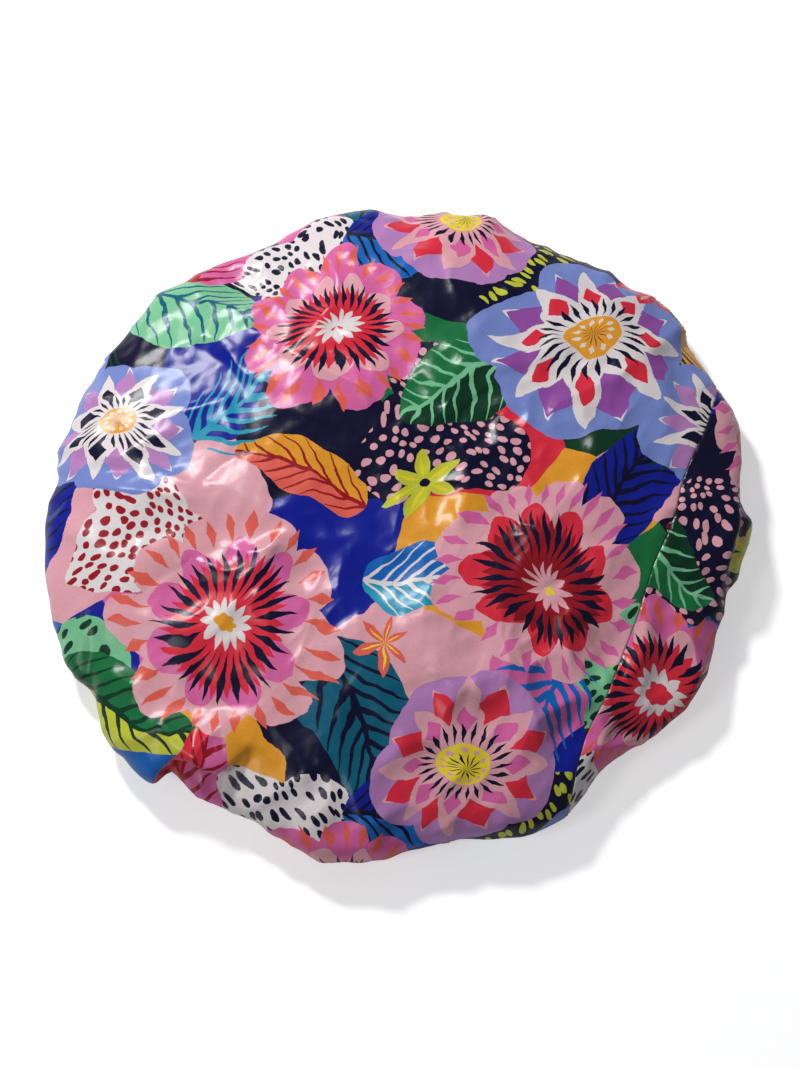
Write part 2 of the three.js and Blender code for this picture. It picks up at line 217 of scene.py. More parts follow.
class BonnetColours(bpy.types.PropertyGroup):
    """Colours of the print, the plain cloth and the trims."""

    light_pink: shade("Light pink", (232, 168, 178), "Outer petals")
    hot_pink: shade("Hot pink", (224, 104, 166), "Second petals and patches")
    coral: shade("Coral", (232, 100, 84), "Petal streaks")
    coral_red: shade("Coral red", (226, 46, 66), "Frilled petals")
    dark_red: shade("Dark red", (158, 20, 34), "Thin strokes")
    navy: shade("Navy", (10, 10, 46), "Veins, strokes and patches")
    royal_blue: shade("Royal blue", (14, 30, 150), "Patches and leaves")
    bright_blue: shade("Bright blue", (18, 104, 190), "Patches and fronds")
    periwinkle: shade("Periwinkle", (122, 140, 206), "Grounds of blossoms")
    turquoise: shade("Turquoise", (34, 158, 190), "Fronds")
    teal: shade("Teal", (8, 94, 120), "Leaves")
    mint: shade("Mint", (124, 198, 150), "Leaves and patches")
    green: shade("Green", (24, 114, 64), "Leaves and patches")
    dark_green: shade("Dark green", (10, 58, 36), "Leaves, fronds and patches")
    chartreuse: shade("Chartreuse", (204, 208, 62), "Leaves, dashes and small stars")
    yellow: shade("Yellow", (244, 218, 48), "Centres and small stars")
    mustard: shade("Mustard", (236, 160, 44), "Centres, leaves and patches")
    cream: shade("Cream", (232, 222, 222), "Speckled patches and petals")
    purple: shade("Purple", (150, 80, 164), "Petal streaks")
    mauve: shade("Mauve", (188, 132, 192), "Grounds and streaks of blossoms")
    plain_cloth: shade("Plain cloth", (30, 72, 172), "Lining and casing")
    elastic: shade("Elastic", (236, 234, 226), "Elastic strip")
    thread: shade("Thread", (38, 84, 184), "Sewing thread")
    table: shade("Table", (246, 246, 246), "Table top")


def own_names(group):
    """Names of a property group's own properties."""
    return [name for name in group.bl_rna.properties.keys() if name not in ("rna_type", "name")]


def linear(colour):
    """Turns a screen colour into the light that it stands for, with full cover: the sRGB curve undone."""
    parts = [part / 12.92 if part <= 0.04045 else ((part + 0.055) / 1.055) ** 2.4 for part in colour]
    return (*parts, 1.0)


def lobe_share(angle):
    """Rim radius as a share, in each direction: half cosine waves between listed crests and valleys."""
    at, share = np.array(LOBES).T
    at = np.concatenate([at[-1:] - 360, at, at[:1] + 360])
    share = np.concatenate([share[-1:], share, share[:1]])
    degrees = np.degrees(angle) % 360
    k = np.clip(np.searchsorted(at, degrees, side="right") - 1, 0, len(at) - 2)
    along = (degrees - at[k]) / (at[k + 1] - at[k])
    return share[k] + (share[k + 1] - share[k]) * (1 - np.cos(np.pi * along)) / 2


def smooth(value, low, high):
    """0 below low, 1 above high, and an even S between them: 3 t squared less 2 t cubed."""
    t = np.clip((value - low) / (high - low), 0, 1)
    return t * t * (3 - 2 * t)


def turned_by(angle, other):
    """The difference of two directions, between half a turn back and half a turn on."""
    return (angle - other + np.pi) % (2 * np.pi) - np.pi


def all_round(count):
    """Directions of a number of even steps round a full turn."""
    return np.arange(count) * 2 * math.pi / count


def gather_pattern():
    """Directions, heights and half widths of the gathers: one at each crest and valley of the rim, and
    two lower ones between each two of those."""
    rng = np.random.default_rng(SEED)
    at = np.radians([lobe[0] for lobe in LOBES])
    gaps = turned_by(np.roll(at, -1), at)
    between = [at + gaps * rng.uniform(part, part + 0.1, len(at)) for part in (0.28, 0.62)]
    heights = np.concatenate([rng.uniform(0.8, 1, len(at)), rng.uniform(0.5, 0.9, 2 * len(at))])
    around = (gaps + np.roll(gaps, 1)) / 2
    widths = np.concatenate([around, gaps, gaps]) * rng.uniform(0.17, 0.22, 3 * len(at))
    return np.concatenate([at, *between]), heights, widths


def gathers(angle, radius, sizes):
    """Height of the standing gathers: raised cosine ridges round the casing, that swing a little as
    they run out, grow towards the casing and dive flat into its mouth."""
    directions, heights, widths = gather_pattern()
    outer = sizes.rim_radius - sizes.rim_tuck
    mouth = sizes.lip_radius + 2 * MM
    inward = np.clip((outer + 6 * MM - radius) / (outer - mouth), 0, 1)
    ridge = np.zeros_like(angle)
    for k in range(len(directions)):
        swing = 0.05 * np.sin(k * 1.7) * (1 - inward)
        away = turned_by(angle, directions[k] + swing) / widths[k]
        ridge = np.maximum(ridge, heights[k] * (0.5 + 0.5 * np.cos(np.pi * np.clip(away, -1, 1))) ** 1.2)
    dive = smooth(radius, mouth, mouth + 12 * MM)
    return sizes.gather_height * ridge * np.sin(inward * np.pi / 2) * dive


def relief(x, y):
    """Height of the crown's soft rises and hollows as a share of its rise, at a place in shares of the
    rim's radius: each falls off as e to the minus square of the distance over its reach."""
    total = np.zeros(np.shape(x))
    for at_x, at_y, height, reach in RELIEFS:
        total += height * np.exp(-((x - at_x) ** 2 + (y - at_y) ** 2) / reach ** 2)
    return total


def plain_line(q):
    """At station q: the crown's share of the rim's radius, the height of its flattened dome, which is
    the root of 1 less that share to the power of its fullness, and the turn round the tuck."""
    share = 1 - (1 - np.clip(q, 0, 1)) ** 2
    dome = np.sqrt(np.maximum(0, 1 - share ** DOME_FULLNESS))
    return share, dome, np.clip(q - 1, 0, 1) * np.pi / 2


def meridian(q, angle, sizes):
    """Radius and height at station q: 0 to 1 is the crown, to 2 the tuck under the rim, to 3 the run.

    On the crown the radius grows with a share, and the lobes with a power of it. The height is the
    flattened dome with the soft rises and hollows, less a flute on the shoulder in each valley. The
    tuck is a quarter of an ellipse, and the run goes straight in to the gathered edge.
    """
    lobe = lobe_share(angle)
    rim = sizes.rim_radius * lobe
    share, dome, turn = plain_line(q)
    valley = np.clip((1 - lobe) / FULL_VALLEY, 0, 1)
    shoulder = np.maximum(0, 1 - ((share - SHOULDER) / SHOULDER_REACH) ** 2)
    out = share + (lobe - 1) * share ** LOBE_POWER
    crown_r = sizes.rim_radius * out
    rise = dome * (1 + relief(out * np.cos(angle), out * np.sin(angle)))
    crown_z = sizes.rim_height + (sizes.crown_height - sizes.rim_height) * rise
    crown_z = crown_z - sizes.flute_depth * valley * shoulder * dome
    tuck_r = rim - sizes.rim_tuck * (1 - np.cos(turn))
    tuck_z = sizes.rim_height - (sizes.rim_height - sizes.table_gap) * np.sin(turn)
    run = np.clip(q - 2, 0, 1)
    run_r = rim - sizes.rim_tuck + (sizes.gathered_edge - rim + sizes.rim_tuck) * run
    run_z = sizes.table_gap + (MOUTH_HEIGHT - sizes.table_gap) * smooth(run, 0.6, 0.95)
    run_z = run_z + gathers(angle, run_r, sizes)
    radius = np.where(q <= 1, crown_r, np.where(q <= 2, tuck_r, run_r))
    height = np.where(q <= 1, crown_z, np.where(q <= 2, tuck_z, run_z))
    return radius, height


def station_table(sizes):
    """Stations against distances over the cloth and plan radii, on a rim without lobes."""
    q = np.linspace(0, 3, 3001)
    share, dome, turn = plain_line(q)
    low = sizes.rim_radius - sizes.rim_tuck
    radius = np.where(q <= 1, sizes.rim_radius * share, low + sizes.rim_tuck * np.cos(turn))
    radius = np.where(q > 2, low + (sizes.gathered_edge - low) * (q - 2), radius)
    drop = (sizes.rim_height - sizes.table_gap) * np.sin(turn)
    height = np.where(q <= 1, sizes.rim_height + (sizes.crown_height - sizes.rim_height) * dome,
                      sizes.rim_height - drop)
    steps = np.hypot(np.diff(radius), np.diff(height))
    return q, np.concatenate([[0], np.cumsum(steps)]), radius


def cloth_reach(sizes):
    """Radius of the flat circle of cloth."""
    return station_table(sizes)[1][-1]


def seam_offset(sizes):
    """Distance from the crown's middle to the straight seam, in plan."""
    return sizes.rim_radius - sizes.side_panel_depth


def line_distance(x, y, points):
    """Distance from each place to a bent line, whether it is on the line's left, and the share along."""
    best = np.full(x.shape, np.inf)
    left = np.zeros(x.shape, bool)
    along = np.zeros(x.shape)
    lengths = [math.dist(points[k], points[k + 1]) for k in range(len(points) - 1)]
    done = 0
    for k, length in enumerate(lengths):
        (x0, y0), (x1, y1) = points[k], points[k + 1]
        dx, dy = (x1 - x0) / length, (y1 - y0) / length
        t = np.clip((x - x0) * dx + (y - y0) * dy, 0, length)
        distance = np.hypot(x - x0 - t * dx, y - y0 - t * dy)
        nearer = distance < best
        best = np.where(nearer, distance, best)
        left = np.where(nearer, dx * (y - y0) - dy * (x - x0) > 0, left)
        along = np.where(nearer, (done + t) / sum(lengths), along)
        done += length
    return best, left, along


def crease_height(x, y, creases):
    """Adds up creases: each is rounded at its line, falls off from it as e to the minus distance over
    reach, with another reach on each side, and is lower towards its two ends."""
    total = np.zeros(x.shape)
    for height, left_reach, right_reach, points in creases:
        distance, left, along = line_distance(x, y, points)
        reach = np.where(left, left_reach, right_reach)
        rounded = np.sqrt(distance ** 2 + 0.36) - 0.6
        total += height * np.exp(-rounded / reach) * (0.35 + 0.65 * np.sin(np.pi * along))
    return total


def small_creases(count, spread, rng):
    """Seeded bent creases over the flat circle, in millimetres."""
    creases = []
    for _ in range(count):
        middle = spread * math.sqrt(rng.uniform(0, 1))
        at = rng.uniform(0, 2 * math.pi)
        heading = rng.uniform(0, 2 * math.pi)
        arm = rng.uniform(8, 32)
        bend = rng.uniform(-0.5, 0.5)
        x, y = middle * math.cos(at), middle * math.sin(at)
        points = (
            (x - arm * math.cos(heading), y - arm * math.sin(heading)),
            (x, y),
            (x + arm * math.cos(heading + bend), y + arm * math.sin(heading + bend)),
        )
        height = rng.uniform(0.4, 1.5) * rng.choice([1, 1, -0.8])
        creases.append((height, rng.uniform(2.6, 5), rng.uniform(4, 11), points))
    return creases


def rolling(x, y, waves, rng):
    """A sum of plane sine waves with seeded directions, lengths and phases, in millimetres."""
    count, shortest, longest, height = waves
    total = np.zeros(x.shape)
    for _ in range(count):
        heading = rng.uniform(0, 2 * math.pi)
        wave = rng.uniform(shortest, longest)
        phase = rng.uniform(0, 2 * math.pi)
        across = x * math.cos(heading) + y * math.sin(heading)
        total += np.sin(2 * math.pi * across / wave + phase)
    return total * height / math.sqrt(count)


def rim_puckers(s, angle, rim, rng):
    """Short ridges that run over the rim: each is rounded at its line, falls off across as e to the
    minus distance over reach, and along as a bump a few centimetres long."""
    total = np.zeros(s.shape)
    for k in range(PUCKERS):
        at = (k + rng.uniform(0.15, 0.85)) * 2 * math.pi / PUCKERS
        across = np.abs(turned_by(angle, at + rng.uniform(-0.0012, 0.0012) * (s - rim))) * s
        reach = rng.uniform(3, 7)
        start, end = rng.uniform(-34, -12), rng.uniform(12, 40)
        along = smooth(s, rim + start, rim) * (1 - smooth(s, rim + 4, rim + end))
        rounded = np.sqrt(across ** 2 + 1.4) - 1.2
        total += rng.uniform(0.4, 1.35) * np.exp(-rounded / reach) * along
    return total


def seam_angle(s, sizes):
    """Direction from the seam's own to the seam, at a distance over the cloth: on the crown the seam is
    straight in plan, and under the rim it stays a straight chord of the flat circle."""
    q, distance, radius = station_table(sizes)
    offset = seam_offset(sizes)
    rim_s = np.interp(1, q, distance)
    crown_r = np.interp(np.minimum(s, rim_s), distance, radius)
    over = np.arccos(np.clip(offset / np.maximum(crown_r, offset), -1, 1))
    beyond = sizes.rim_radius + np.maximum(s - rim_s, 0)
    under = np.arccos(offset / beyond) - np.arccos(offset / sizes.rim_radius)
    return over + np.where(s > rim_s, under, 0)


def seam_dip(base, s, angle, q, sizes):
    """How deep the seam's line sinks, in millimetres: it falls off as e to the minus distance over its
    reach, and small puckers cross it."""
    turn = np.abs(turned_by(angle, sizes.seam_turn))
    seam = seam_angle(s, sizes)
    radius = np.hypot(base[..., 0], base[..., 1])
    on_crown = np.abs(radius * np.cos(turn) - seam_offset(sizes))
    below = np.abs(turn - seam) * radius * np.sin(np.maximum(seam, 0.1))
    beside = np.where(q <= 1, on_crown, below) / MM
    pucker = 1 + 0.45 * np.sin(s * np.sin(turn) / MM * 0.85) * np.exp(-beside / 6)
    return 0.6 * np.exp(-beside / 1.4) * pucker * (1 - smooth(q, 2.6, 2.8))


def folds(base, s, angle, q, rim):
    """How far the cloth moves out along its normal, in millimetres.

    Listed creases lie on the crown, and seeded ones on the whole flat circle. With broad swells come
    folds, minus the absolute value of a sum of waves times a slack that wanders, fine ripples and the
    rim's puckers. The crown's cloth is raised by its slack, so that the folds lie on the solids and
    not in them. All of it fades out towards the gathered edge.
    """
    x, y = base[..., 0] / MM, base[..., 1] / MM
    flat_x, flat_y = s * np.cos(angle) / MM, s * np.sin(angle) / MM
    rng = np.random.default_rng(SEED + 1)
    top = 1 - smooth(q, 0.98, 1.25)
    move = 1.5 * crease_height(x, y, CREASES) * top
    move += crease_height(flat_x, flat_y, small_creases(190, 230, rng))
    move += rolling(flat_x, flat_y, SWELLS, rng)
    slack = 1 + 0.6 * np.tanh(rolling(flat_x, flat_y, SLACK, rng))
    for waves in FOLDS:
        move -= slack * np.abs(rolling(flat_x, flat_y, waves, rng))
    move += rolling(flat_x, flat_y, RIPPLES, rng)
    move += rim_puckers(s / MM, angle, rim / MM, rng)
    move += 0.1 + 0.75 * slack * top
    return move * (1 - smooth(q, 2.75, 2.93))


def cloth(s, angle, depth, sizes, laps=True):
    """Places of the cloth's points, from their distance and direction on the flat circle.

    The plain form comes from the meridian, and its normals from points a little to each side. The folds
    and the seam's line move a point along its normal, and depth moves it inwards. At a lap the cloth is
    pulled over itself, or without laps it keeps clear below, and nothing goes lower than the table gap.
    """
    q_table, distance, _ = station_table(sizes)

    def place(s_at, angle_at):
        radius, height = meridian(np.interp(s_at, distance, q_table), angle_at, sizes)
        return np.stack([radius * np.cos(angle_at), radius * np.sin(angle_at), height], -1)

    step = 0.6 * MM
    inner = np.maximum(s, 4 * step)
    base = place(s, angle)
    outward = place(np.minimum(inner + step, distance[-1]), angle) - place(inner - step, angle)
    round_it = place(inner, angle + step / inner) - place(inner, angle - step / inner)
    normal = np.cross(outward, round_it)
    normal /= np.maximum(np.linalg.norm(normal, axis=-1, keepdims=True), 1e-12)

    q = np.interp(s, distance, q_table)
    rim = np.interp(1, q_table, distance)
    move = folds(base, s, angle, q, rim) - seam_dip(base, s, angle, q, sizes)
    points = base + normal * (move * MM - depth)[..., None]
    for lap in LAPS:
        if laps:
            points = lapped(points, q, lap)
        else:
            t, fade, _ = lap_frame(points, q, lap)
            clear = 2 * lap[-1] * fade * np.exp(-(t / LAP_SPREAD) ** 2) * MM
            points = points - normal * clear[..., None]
    points[..., 2] = np.maximum(points[..., 2], sizes.table_gap + depth)
    return points


def lap_frame(points, q, lap):
    """Where points lie against a lap: across it over its width, how much of it acts there, and the
    direction across. It fades past the line's two ends and under the rim."""
    start, end, wander, width, share, _ = lap
    length = math.dist(start, end)
    dx, dy = (end[0] - start[0]) / length, (end[1] - start[1]) / length
    outward = 1 if dy * start[0] - dx * start[1] > 0 else -1
    nx, ny = outward * dy, -outward * dx
    x, y = points[..., 0] / MM, points[..., 1] / MM
    along = (x - start[0]) * dx + (y - start[1]) * dy
    at, off = np.array(wander).T
    across = (x - start[0]) * nx + (y - start[1]) * ny - np.interp(along, at, off) + width * share * 0.4
    fade = (1 - smooth(along, length - 22, length + 6)) * smooth(along, -26, -6)
    return across / width, fade * (1 - smooth(q, 1.15, 1.7)), np.array([nx, ny])


def lapped(points, q, lap):
    """Pulls the cloth over itself at a line. With t the distance across over the width, a point moves
    across by t times e to the minus t squared, scaled to a top of 1, which turns the cloth back under
    itself, and steps down by the hyperbolic tangent of t."""
    *_, width, share, fall = lap
    t, fade, across = lap_frame(points, q, lap)
    shift = -2.33 * share * width * t * np.exp(-t * t) * fade
    drop = -fall * np.tanh(1.3 * t) * np.exp(-(t / LAP_SPREAD) ** 2) * fade
    return points + np.stack([shift * across[0], shift * across[1], drop], -1) * MM


def grid_faces(rows, columns, closed, ring=False):
    """Faces of a grid of points, row by row. A closed grid joins its last column to its first, and a
    ring its last row to its first."""
    row = np.arange(rows if ring else rows - 1)[:, None]
    here = np.arange(columns if closed else columns - 1)[None, :]
    there = (here + 1) % columns
    low, high = row * columns, (row + 1) % rows * columns
    return np.stack([low + here, high + here, high + there, low + there], -1).reshape(-1, 4)


def mesh_object(name, points, faces, uv=None):
    """Makes a smooth mesh object from points, faces of 3 or 4 corners and a place on the flat cut."""
    mesh = bpy.data.meshes.new(name)
    mesh.from_pydata((points.reshape(-1, 3) + CENTRE).tolist(), [], faces)
    mesh.polygons.foreach_set("use_smooth", np.ones(len(mesh.polygons), bool))
    if uv is not None:
        corner = np.empty(len(mesh.loops), np.int32)
        mesh.loops.foreach_get("vertex_index", corner)
        layer = mesh.uv_layers.new(name="flat_cut")
        layer.data.foreach_set("uv", uv.reshape(-1, 2)[corner].astype(np.float32).ravel())
    mesh.validate()
    mesh.update()
    made = bpy.data.objects.new(name, mesh)
    bpy.context.scene.collection.objects.link(made)
    return made


def cut_edge(turn, sizes):
    """Distance over the cloth to the large panel's edge, which is the seam in front of it or else the
    whole circle, and the direction where the seam meets the circle."""
    end = cloth_reach(sizes)
    s = np.linspace(seam_offset(sizes), end, 3000)
    turns = seam_angle(s, sizes)
    return np.where(turn < turns[-1], np.interp(turn, turns, s), end), turns[-1]


def spaced(shares, fine, density):
    """Places at shares of the way along a line, closest where the density is highest."""
    filled = np.cumsum(density)
    return np.interp(shares, (filled - filled[0]) / (filled[-1] - filled[0]), fine)


def column_turns(count, sizes):
    """Directions of the cloth's columns from the seam's own, denser at the laps, and with one on each
    corner of the side panel."""
    fine = np.linspace(-math.pi, math.pi, 20001)
    density = np.ones_like(fine)
    for start, end, *_ in LAPS:
        middle = math.atan2((start[1] + end[1]) / 2, (start[0] + end[0]) / 2) - sizes.seam_turn
        density += 1.3 * np.exp(-((turned_by(fine, middle) / 0.17) ** 2))
    turns = spaced(np.arange(count) / count, fine, density)
    corner = cut_edge(np.zeros(1), sizes)[1]
    for side in (-corner, corner):
        turns[np.argmin(np.abs(turns - side))] = side
    return turns, corner


def crown_rows(count):
    """Rows of the large panel as shares of the way out, closest at the rim and widest apart on the run
    under it."""
    fine = np.linspace(0, 1, 4001)
    density = 1.35 + 0.25 * smooth(fine, 0.5, 0.56) - 0.7 * smooth(fine, 0.78, 0.84)
    return spaced(np.linspace(0, 1, count), fine, density)


def disc_object(name, points, s, angle):
    """A disc of rows of points round its middle, which is the whole first row."""
    rows, columns = s.shape
    faces = grid_faces(rows - 1, columns, True) + 1
    first = np.arange(columns)
    fan = np.stack([np.zeros(columns, int), first + 1, (first + 1) % columns + 1], -1)
    flat = np.stack([s * np.cos(angle), s * np.sin(angle)], -1)
    points, flat = (np.concatenate([grid[0, :1], grid[1:].reshape(-1, grid.shape[-1])])
                    for grid in (points, flat))
    return mesh_object(name, points, fan.tolist() + faces.tolist(), flat)


def build_crown(sizes):
    """The large printed panel: a disc of the cloth up to the seam, with its seam allowance turned in."""
    turns, corner = column_turns(CROWN_COLUMNS, sizes)
    edge, _ = cut_edge(np.abs(turns), sizes)
    share = np.concatenate([crown_rows(CROWN_ROWS), [1, 1]])
    s = share[:, None] * edge[None, :]
    angle = np.broadcast_to(turns + sizes.seam_turn, s.shape)
    turned_in = np.concatenate([np.zeros(len(share) - 2), ALLOWANCE])[:, None]
    depth = turned_in * np.where(np.abs(turns) < corner, 1.0, 0.1)[None, :] * MM
    return disc_object("printed_crown", cloth(s, angle, depth, sizes), s, angle)


def build_side(sizes):
    """The small printed panel: the cloth between the seam's chord and the gathered edge. Its print is
    cut from another place, so its place on the flat cut is turned and moved."""
    turns, corner = column_turns(SIDE_COLUMNS, sizes)
    turns = np.sort(turns[np.abs(turns) <= corner + 1e-9])
    edge, _ = cut_edge(np.abs(turns), sizes)
    share = np.concatenate([[0, 0], np.linspace(0, 1, SIDE_ROWS)])
    s = edge[None, :] + share[:, None] * (cloth_reach(sizes) - edge)[None, :]
    angle = np.broadcast_to(turns + sizes.seam_turn, s.shape)
    depth = np.concatenate([ALLOWANCE[::-1], np.zeros(SIDE_ROWS)])[:, None] * np.ones_like(s) * MM
    depth *= np.where(np.abs(turns) < corner - 0.01, 1.0, 0.1)[None, :]
    turned = angle - math.radians(SIDE_PRINT_TURN)
    flat = np.stack([s * np.cos(turned), s * np.sin(turned)], -1) + SIDE_PRINT_SHIFT
    faces = grid_faces(*s.shape, False).tolist()
    return mesh_object("printed_side", cloth(s, angle, depth, sizes), faces, flat)


def build_lining(sizes):
    """The plain circle inside, a little way in from the printed cloth."""
    s = np.linspace(0, cloth_reach(sizes), LINING_ROWS)[:, None] * np.ones((1, LINING_COLUMNS))
    angle = np.broadcast_to(all_round(LINING_COLUMNS), s.shape)
    points = cloth(s, angle, np.full(s.shape, sizes.lining_depth), sizes, laps=False)
    made = disc_object("plain_lining", points, s, angle)
    solid = made.modifiers.new("cloth_thickness", "SOLIDIFY")
    solid.thickness = sizes.lining_cloth
    solid.offset = -1
    return made


# The casing's section in millimetres: how far out from the neck radius and how high, then how far a
# ripple moves each of them.
CASING_SECTION = (
    (21, 0.1, 0.5, 0.3), (18.5, 0.05, 0.2, 0.3), (16.5, 0.25, 0.1, 0.2), (14.4, 0.05, 0, 0.3),
    (11.5, 0.0, 0, 0.3), (7.5, 0.0, 0, 0.35), (4, 0.0, 0, 0.35), (2, 0.05, -0.2, 0.3),
    (0.8, 0.45, -0.5, 0.2), (0.2, 1.2, -0.8, 0.1), (0, 2.2, -1.0, 0.2), (0.2, 3.3, -0.8, 0.4),
    (0.9, 4.1, -0.5, 0.7), (2.2, 4.6, -0.2, 0.9), (4.5, 4.8, 0, 1.1), (7.5, 4.9, 0, 1.2),
    (10.5, 4.75, 0, 1.1), (12.8, 4.3, 0, 0.9), (14.6, 3.45, 0, 0.4), (16.5, 3.5, 0, 0.5),
    (18.5, 3.2, 0.2, 0.4), (20.3, 3.45, 0.4, 0.7), (21.1, 3.3, 0.5, 0.7), (21.2, 3.0, 0.5, 0.6),
    (20.4, 2.85, 0.4, 0.5), (18.5, 2.6, 0.2, 0.3), (16.5, 2.8, 0, 0.3), (14.8, 2.8, 0, 0.3),
    (12.6, 3.7, 0, 0.5), (10.5, 4.1, 0, 0.5), (7.5, 4.2, 0, 0.5), (4.5, 4.1, 0, 0.4),
    (2.4, 3.9, 0, 0.3), (1.2, 3.2, 0, 0.1), (0.8, 2.2, 0, 0), (1.1, 1.3, 0, 0), (2.2, 0.75, 0, 0),
    (4, 0.62, 0, 0.05), (9, 0.62, 0, 0.05), (14.4, 0.62, 0, 0.05), (18.5, 0.7, 0.2, 0.05),
    (20.6, 0.75, 0.5, 0.1), (21.3, 0.45, 0.5, 0.2),
)


def ruche(angle):
    """The casing's ripples, 0 in a groove and 1 on a fold: a sharpened sine, about ninety round the
    casing, whose spacing and height wander."""
    phase = 88 * angle + 2.1 * np.sin(7 * angle + 1) + 1.4 * np.sin(13 * angle) + 0.9 * np.sin(29 * angle)
    height = 0.78 + 0.22 * np.sin(9 * angle + 0.6) * np.sin(4 * angle + 2)
    return height * (0.5 + 0.5 * np.sin(phase)) ** 1.4


def build_casing(sizes):
    """The folded strip round the head opening: one section carried round the ring, rippled. A fold
    raises its points, save those under half a millimetre, which a groove raises."""
    angle = all_round(CASING_COLUMNS)
    out, up, out_ripple, up_ripple = np.array(CASING_SECTION).T
    ripple = ruche(angle)[:, None]
    radius = sizes.neck_radius / MM + out + out_ripple * ripple
    height = up + up_ripple * np.where(up < 0.5, 1 - ripple, ripple)
    points = np.stack([radius * np.cos(angle)[:, None], radius * np.sin(angle)[:, None], height], -1) * MM
    around = np.concatenate([[0], np.cumsum(np.hypot(np.diff(out), np.diff(up)))]) * MM
    flat = np.stack(np.broadcast_arrays(angle[:, None] * CASING_WEAVE, around), -1)
    faces = grid_faces(*height.shape, True, ring=True)[:, FLIPPED]
    return mesh_object("ruched_casing", points, faces.tolist(), flat)


def build_elastic(sizes):
    """The elastic: a flat strip bent round, with ribs along it, whose end climbs onto its start."""
    lap, climb, rib = 15 * MM, 22 * MM, 0.14 * MM
    inner = sizes.neck_radius + 0.9 * MM
    middle = inner + sizes.elastic_width / 2
    whole = 2 * math.pi * middle + lap
    along = np.linspace(0, whole, 361)[:, None]
    rise = (sizes.elastic_thickness + 0.3 * MM) * smooth(along, whole - 2 * lap - climb, whole - 2 * lap)
    across = np.linspace(0, 1, 31)
    ribs = rib * np.abs(np.sin(across * math.pi * 6))
    top = np.stack([across, 1 + 0 * across, ribs], -1)
    low = np.stack([across[::-1], 0 * across, -ribs[::-1]], -1)
    out, up, ribbed = np.concatenate([top, low]).T
    wave = 0.12 * MM * np.sin(along / MM * 1.3)
    height = 0.95 * MM + rib + rise + up * (sizes.elastic_thickness - 2 * rib) + ribbed + wave * 0.5 * up
    radius = inner + out * sizes.elastic_width
    angle = along / middle
    points = np.stack([radius * np.cos(angle), radius * np.sin(angle), height], -1)
    rows, columns = height.shape
    last = (rows - 1) * columns
    ends = [list(range(columns))[::-1], list(range(last, last + columns))]
    flat = np.stack(np.broadcast_arrays(along, out * sizes.elastic_width), -1)
    sides = grid_faces(rows, columns, True)[:, FLIPPED].tolist()
    return mesh_object("ribbed_elastic", points, sides + ends, flat)


def build_stitches(sizes):
    """Two rows of straight stitches through the casing's lips, above and below: short fat threads with
    rounded ends, each six-sided, half sunk in the cloth."""
    pitch = sizes.stitch_length * 1.25
    stations = np.array([(-1, 0.25), (-0.75, 0.9), (0, 1), (0.75, 0.9), (1, 0.25)])
    sides = all_round(6)
    along = np.repeat(stations[:, 0] * (sizes.stitch_length / 2), 6)[:, None]
    out = np.outer(stations[:, 1], np.cos(sides)).ravel()[:, None] * sizes.thread_width / 2
    up = np.outer(stations[:, 1], np.sin(sides)).ravel() * sizes.thread_width / 2
    rows = []
    for above in (True, False):
        for inset in STITCH_INSETS:
            radius = sizes.lip_radius - inset * MM
            angle = all_round(int(2 * math.pi * radius / pitch))
            ripple = ruche(angle)
            height = (3.38 + 0.45 * ripple if above else 0.17 + 0.18 * (1 - ripple)) * MM
            tangent = np.stack([-np.sin(angle), np.cos(angle), 0 * angle], -1)[:, None]
            outward = np.stack([np.cos(angle), np.sin(angle), 0 * angle], -1)[:, None]
            row = outward * (radius + out) + tangent * along
            row[..., 2] = height[:, None] + up
            rows.append(row)
    points = np.concatenate(rows)
    stitch = grid_faces(len(stations), 6, True).tolist() + [list(range(6)), list(range(29, 23, -1))]
    faces = [[first + corner for corner in face]
             for first in range(0, points[..., 0].size, len(along)) for face in stitch]
    return mesh_object("casing_stitches", points, faces)


class Graph:
    """Adds nodes to one node tree. A value that is a socket is linked, and any other is set."""

    def __init__(self, tree):
        self.tree = tree

    def put(self, socket, value):
        if isinstance(value, bpy.types.NodeSocket):
            self.tree.links.new(value, socket)
        elif value is not None:
            socket.default_value = value

    def fill(self, node, values):
        for name, value in values.items():
            self.put(node.inputs[name], value)

    def add(self, kind, values=None, **settings):
        node = self.tree.nodes.new(kind)
        for name, value in settings.items():
            setattr(node, name, value)
        self.fill(node, values or {})
        return node

    def math(self, operation, *values):
        return self.add("ShaderNodeMath", dict(enumerate(values)), operation=operation).outputs[0]

    def times(self, a, b):
        return self.math("MULTIPLY", a, b)

    def rest(self, a):
        """1 less a value."""
        return self.math("SUBTRACT", 1.0, a)

    def under(self, a, b):
        return self.math("LESS_THAN", a, b)

    def vector(self, operation, *values):
        return self.add("ShaderNodeVectorMath", dict(enumerate(values)), operation=operation).outputs[0]

    def reach(self, place):
        return self.add("ShaderNodeVectorMath", {0: place}, operation="LENGTH").outputs[1]

    def noise(self, place, scale, detail=2.0, distortion=0.0):
        values = {"Vector": place, "Scale": scale, "Detail": detail, "Distortion": distortion}
        return self.add("ShaderNodeTexNoise", values).outputs

    def mix(self, factor, a, b):
        return self.add("ShaderNodeMix", {0: factor, 6: a, 7: b}, data_type="RGBA").outputs[2]

    def group(self, tree, values):
        return self.add("ShaderNodeGroup", values, node_tree=tree).outputs

    def between(self, count):
        """0 at each whole count and 1 halfway between two."""
        return self.times(self.math("PINGPONG", count, 0.5), 2.0)


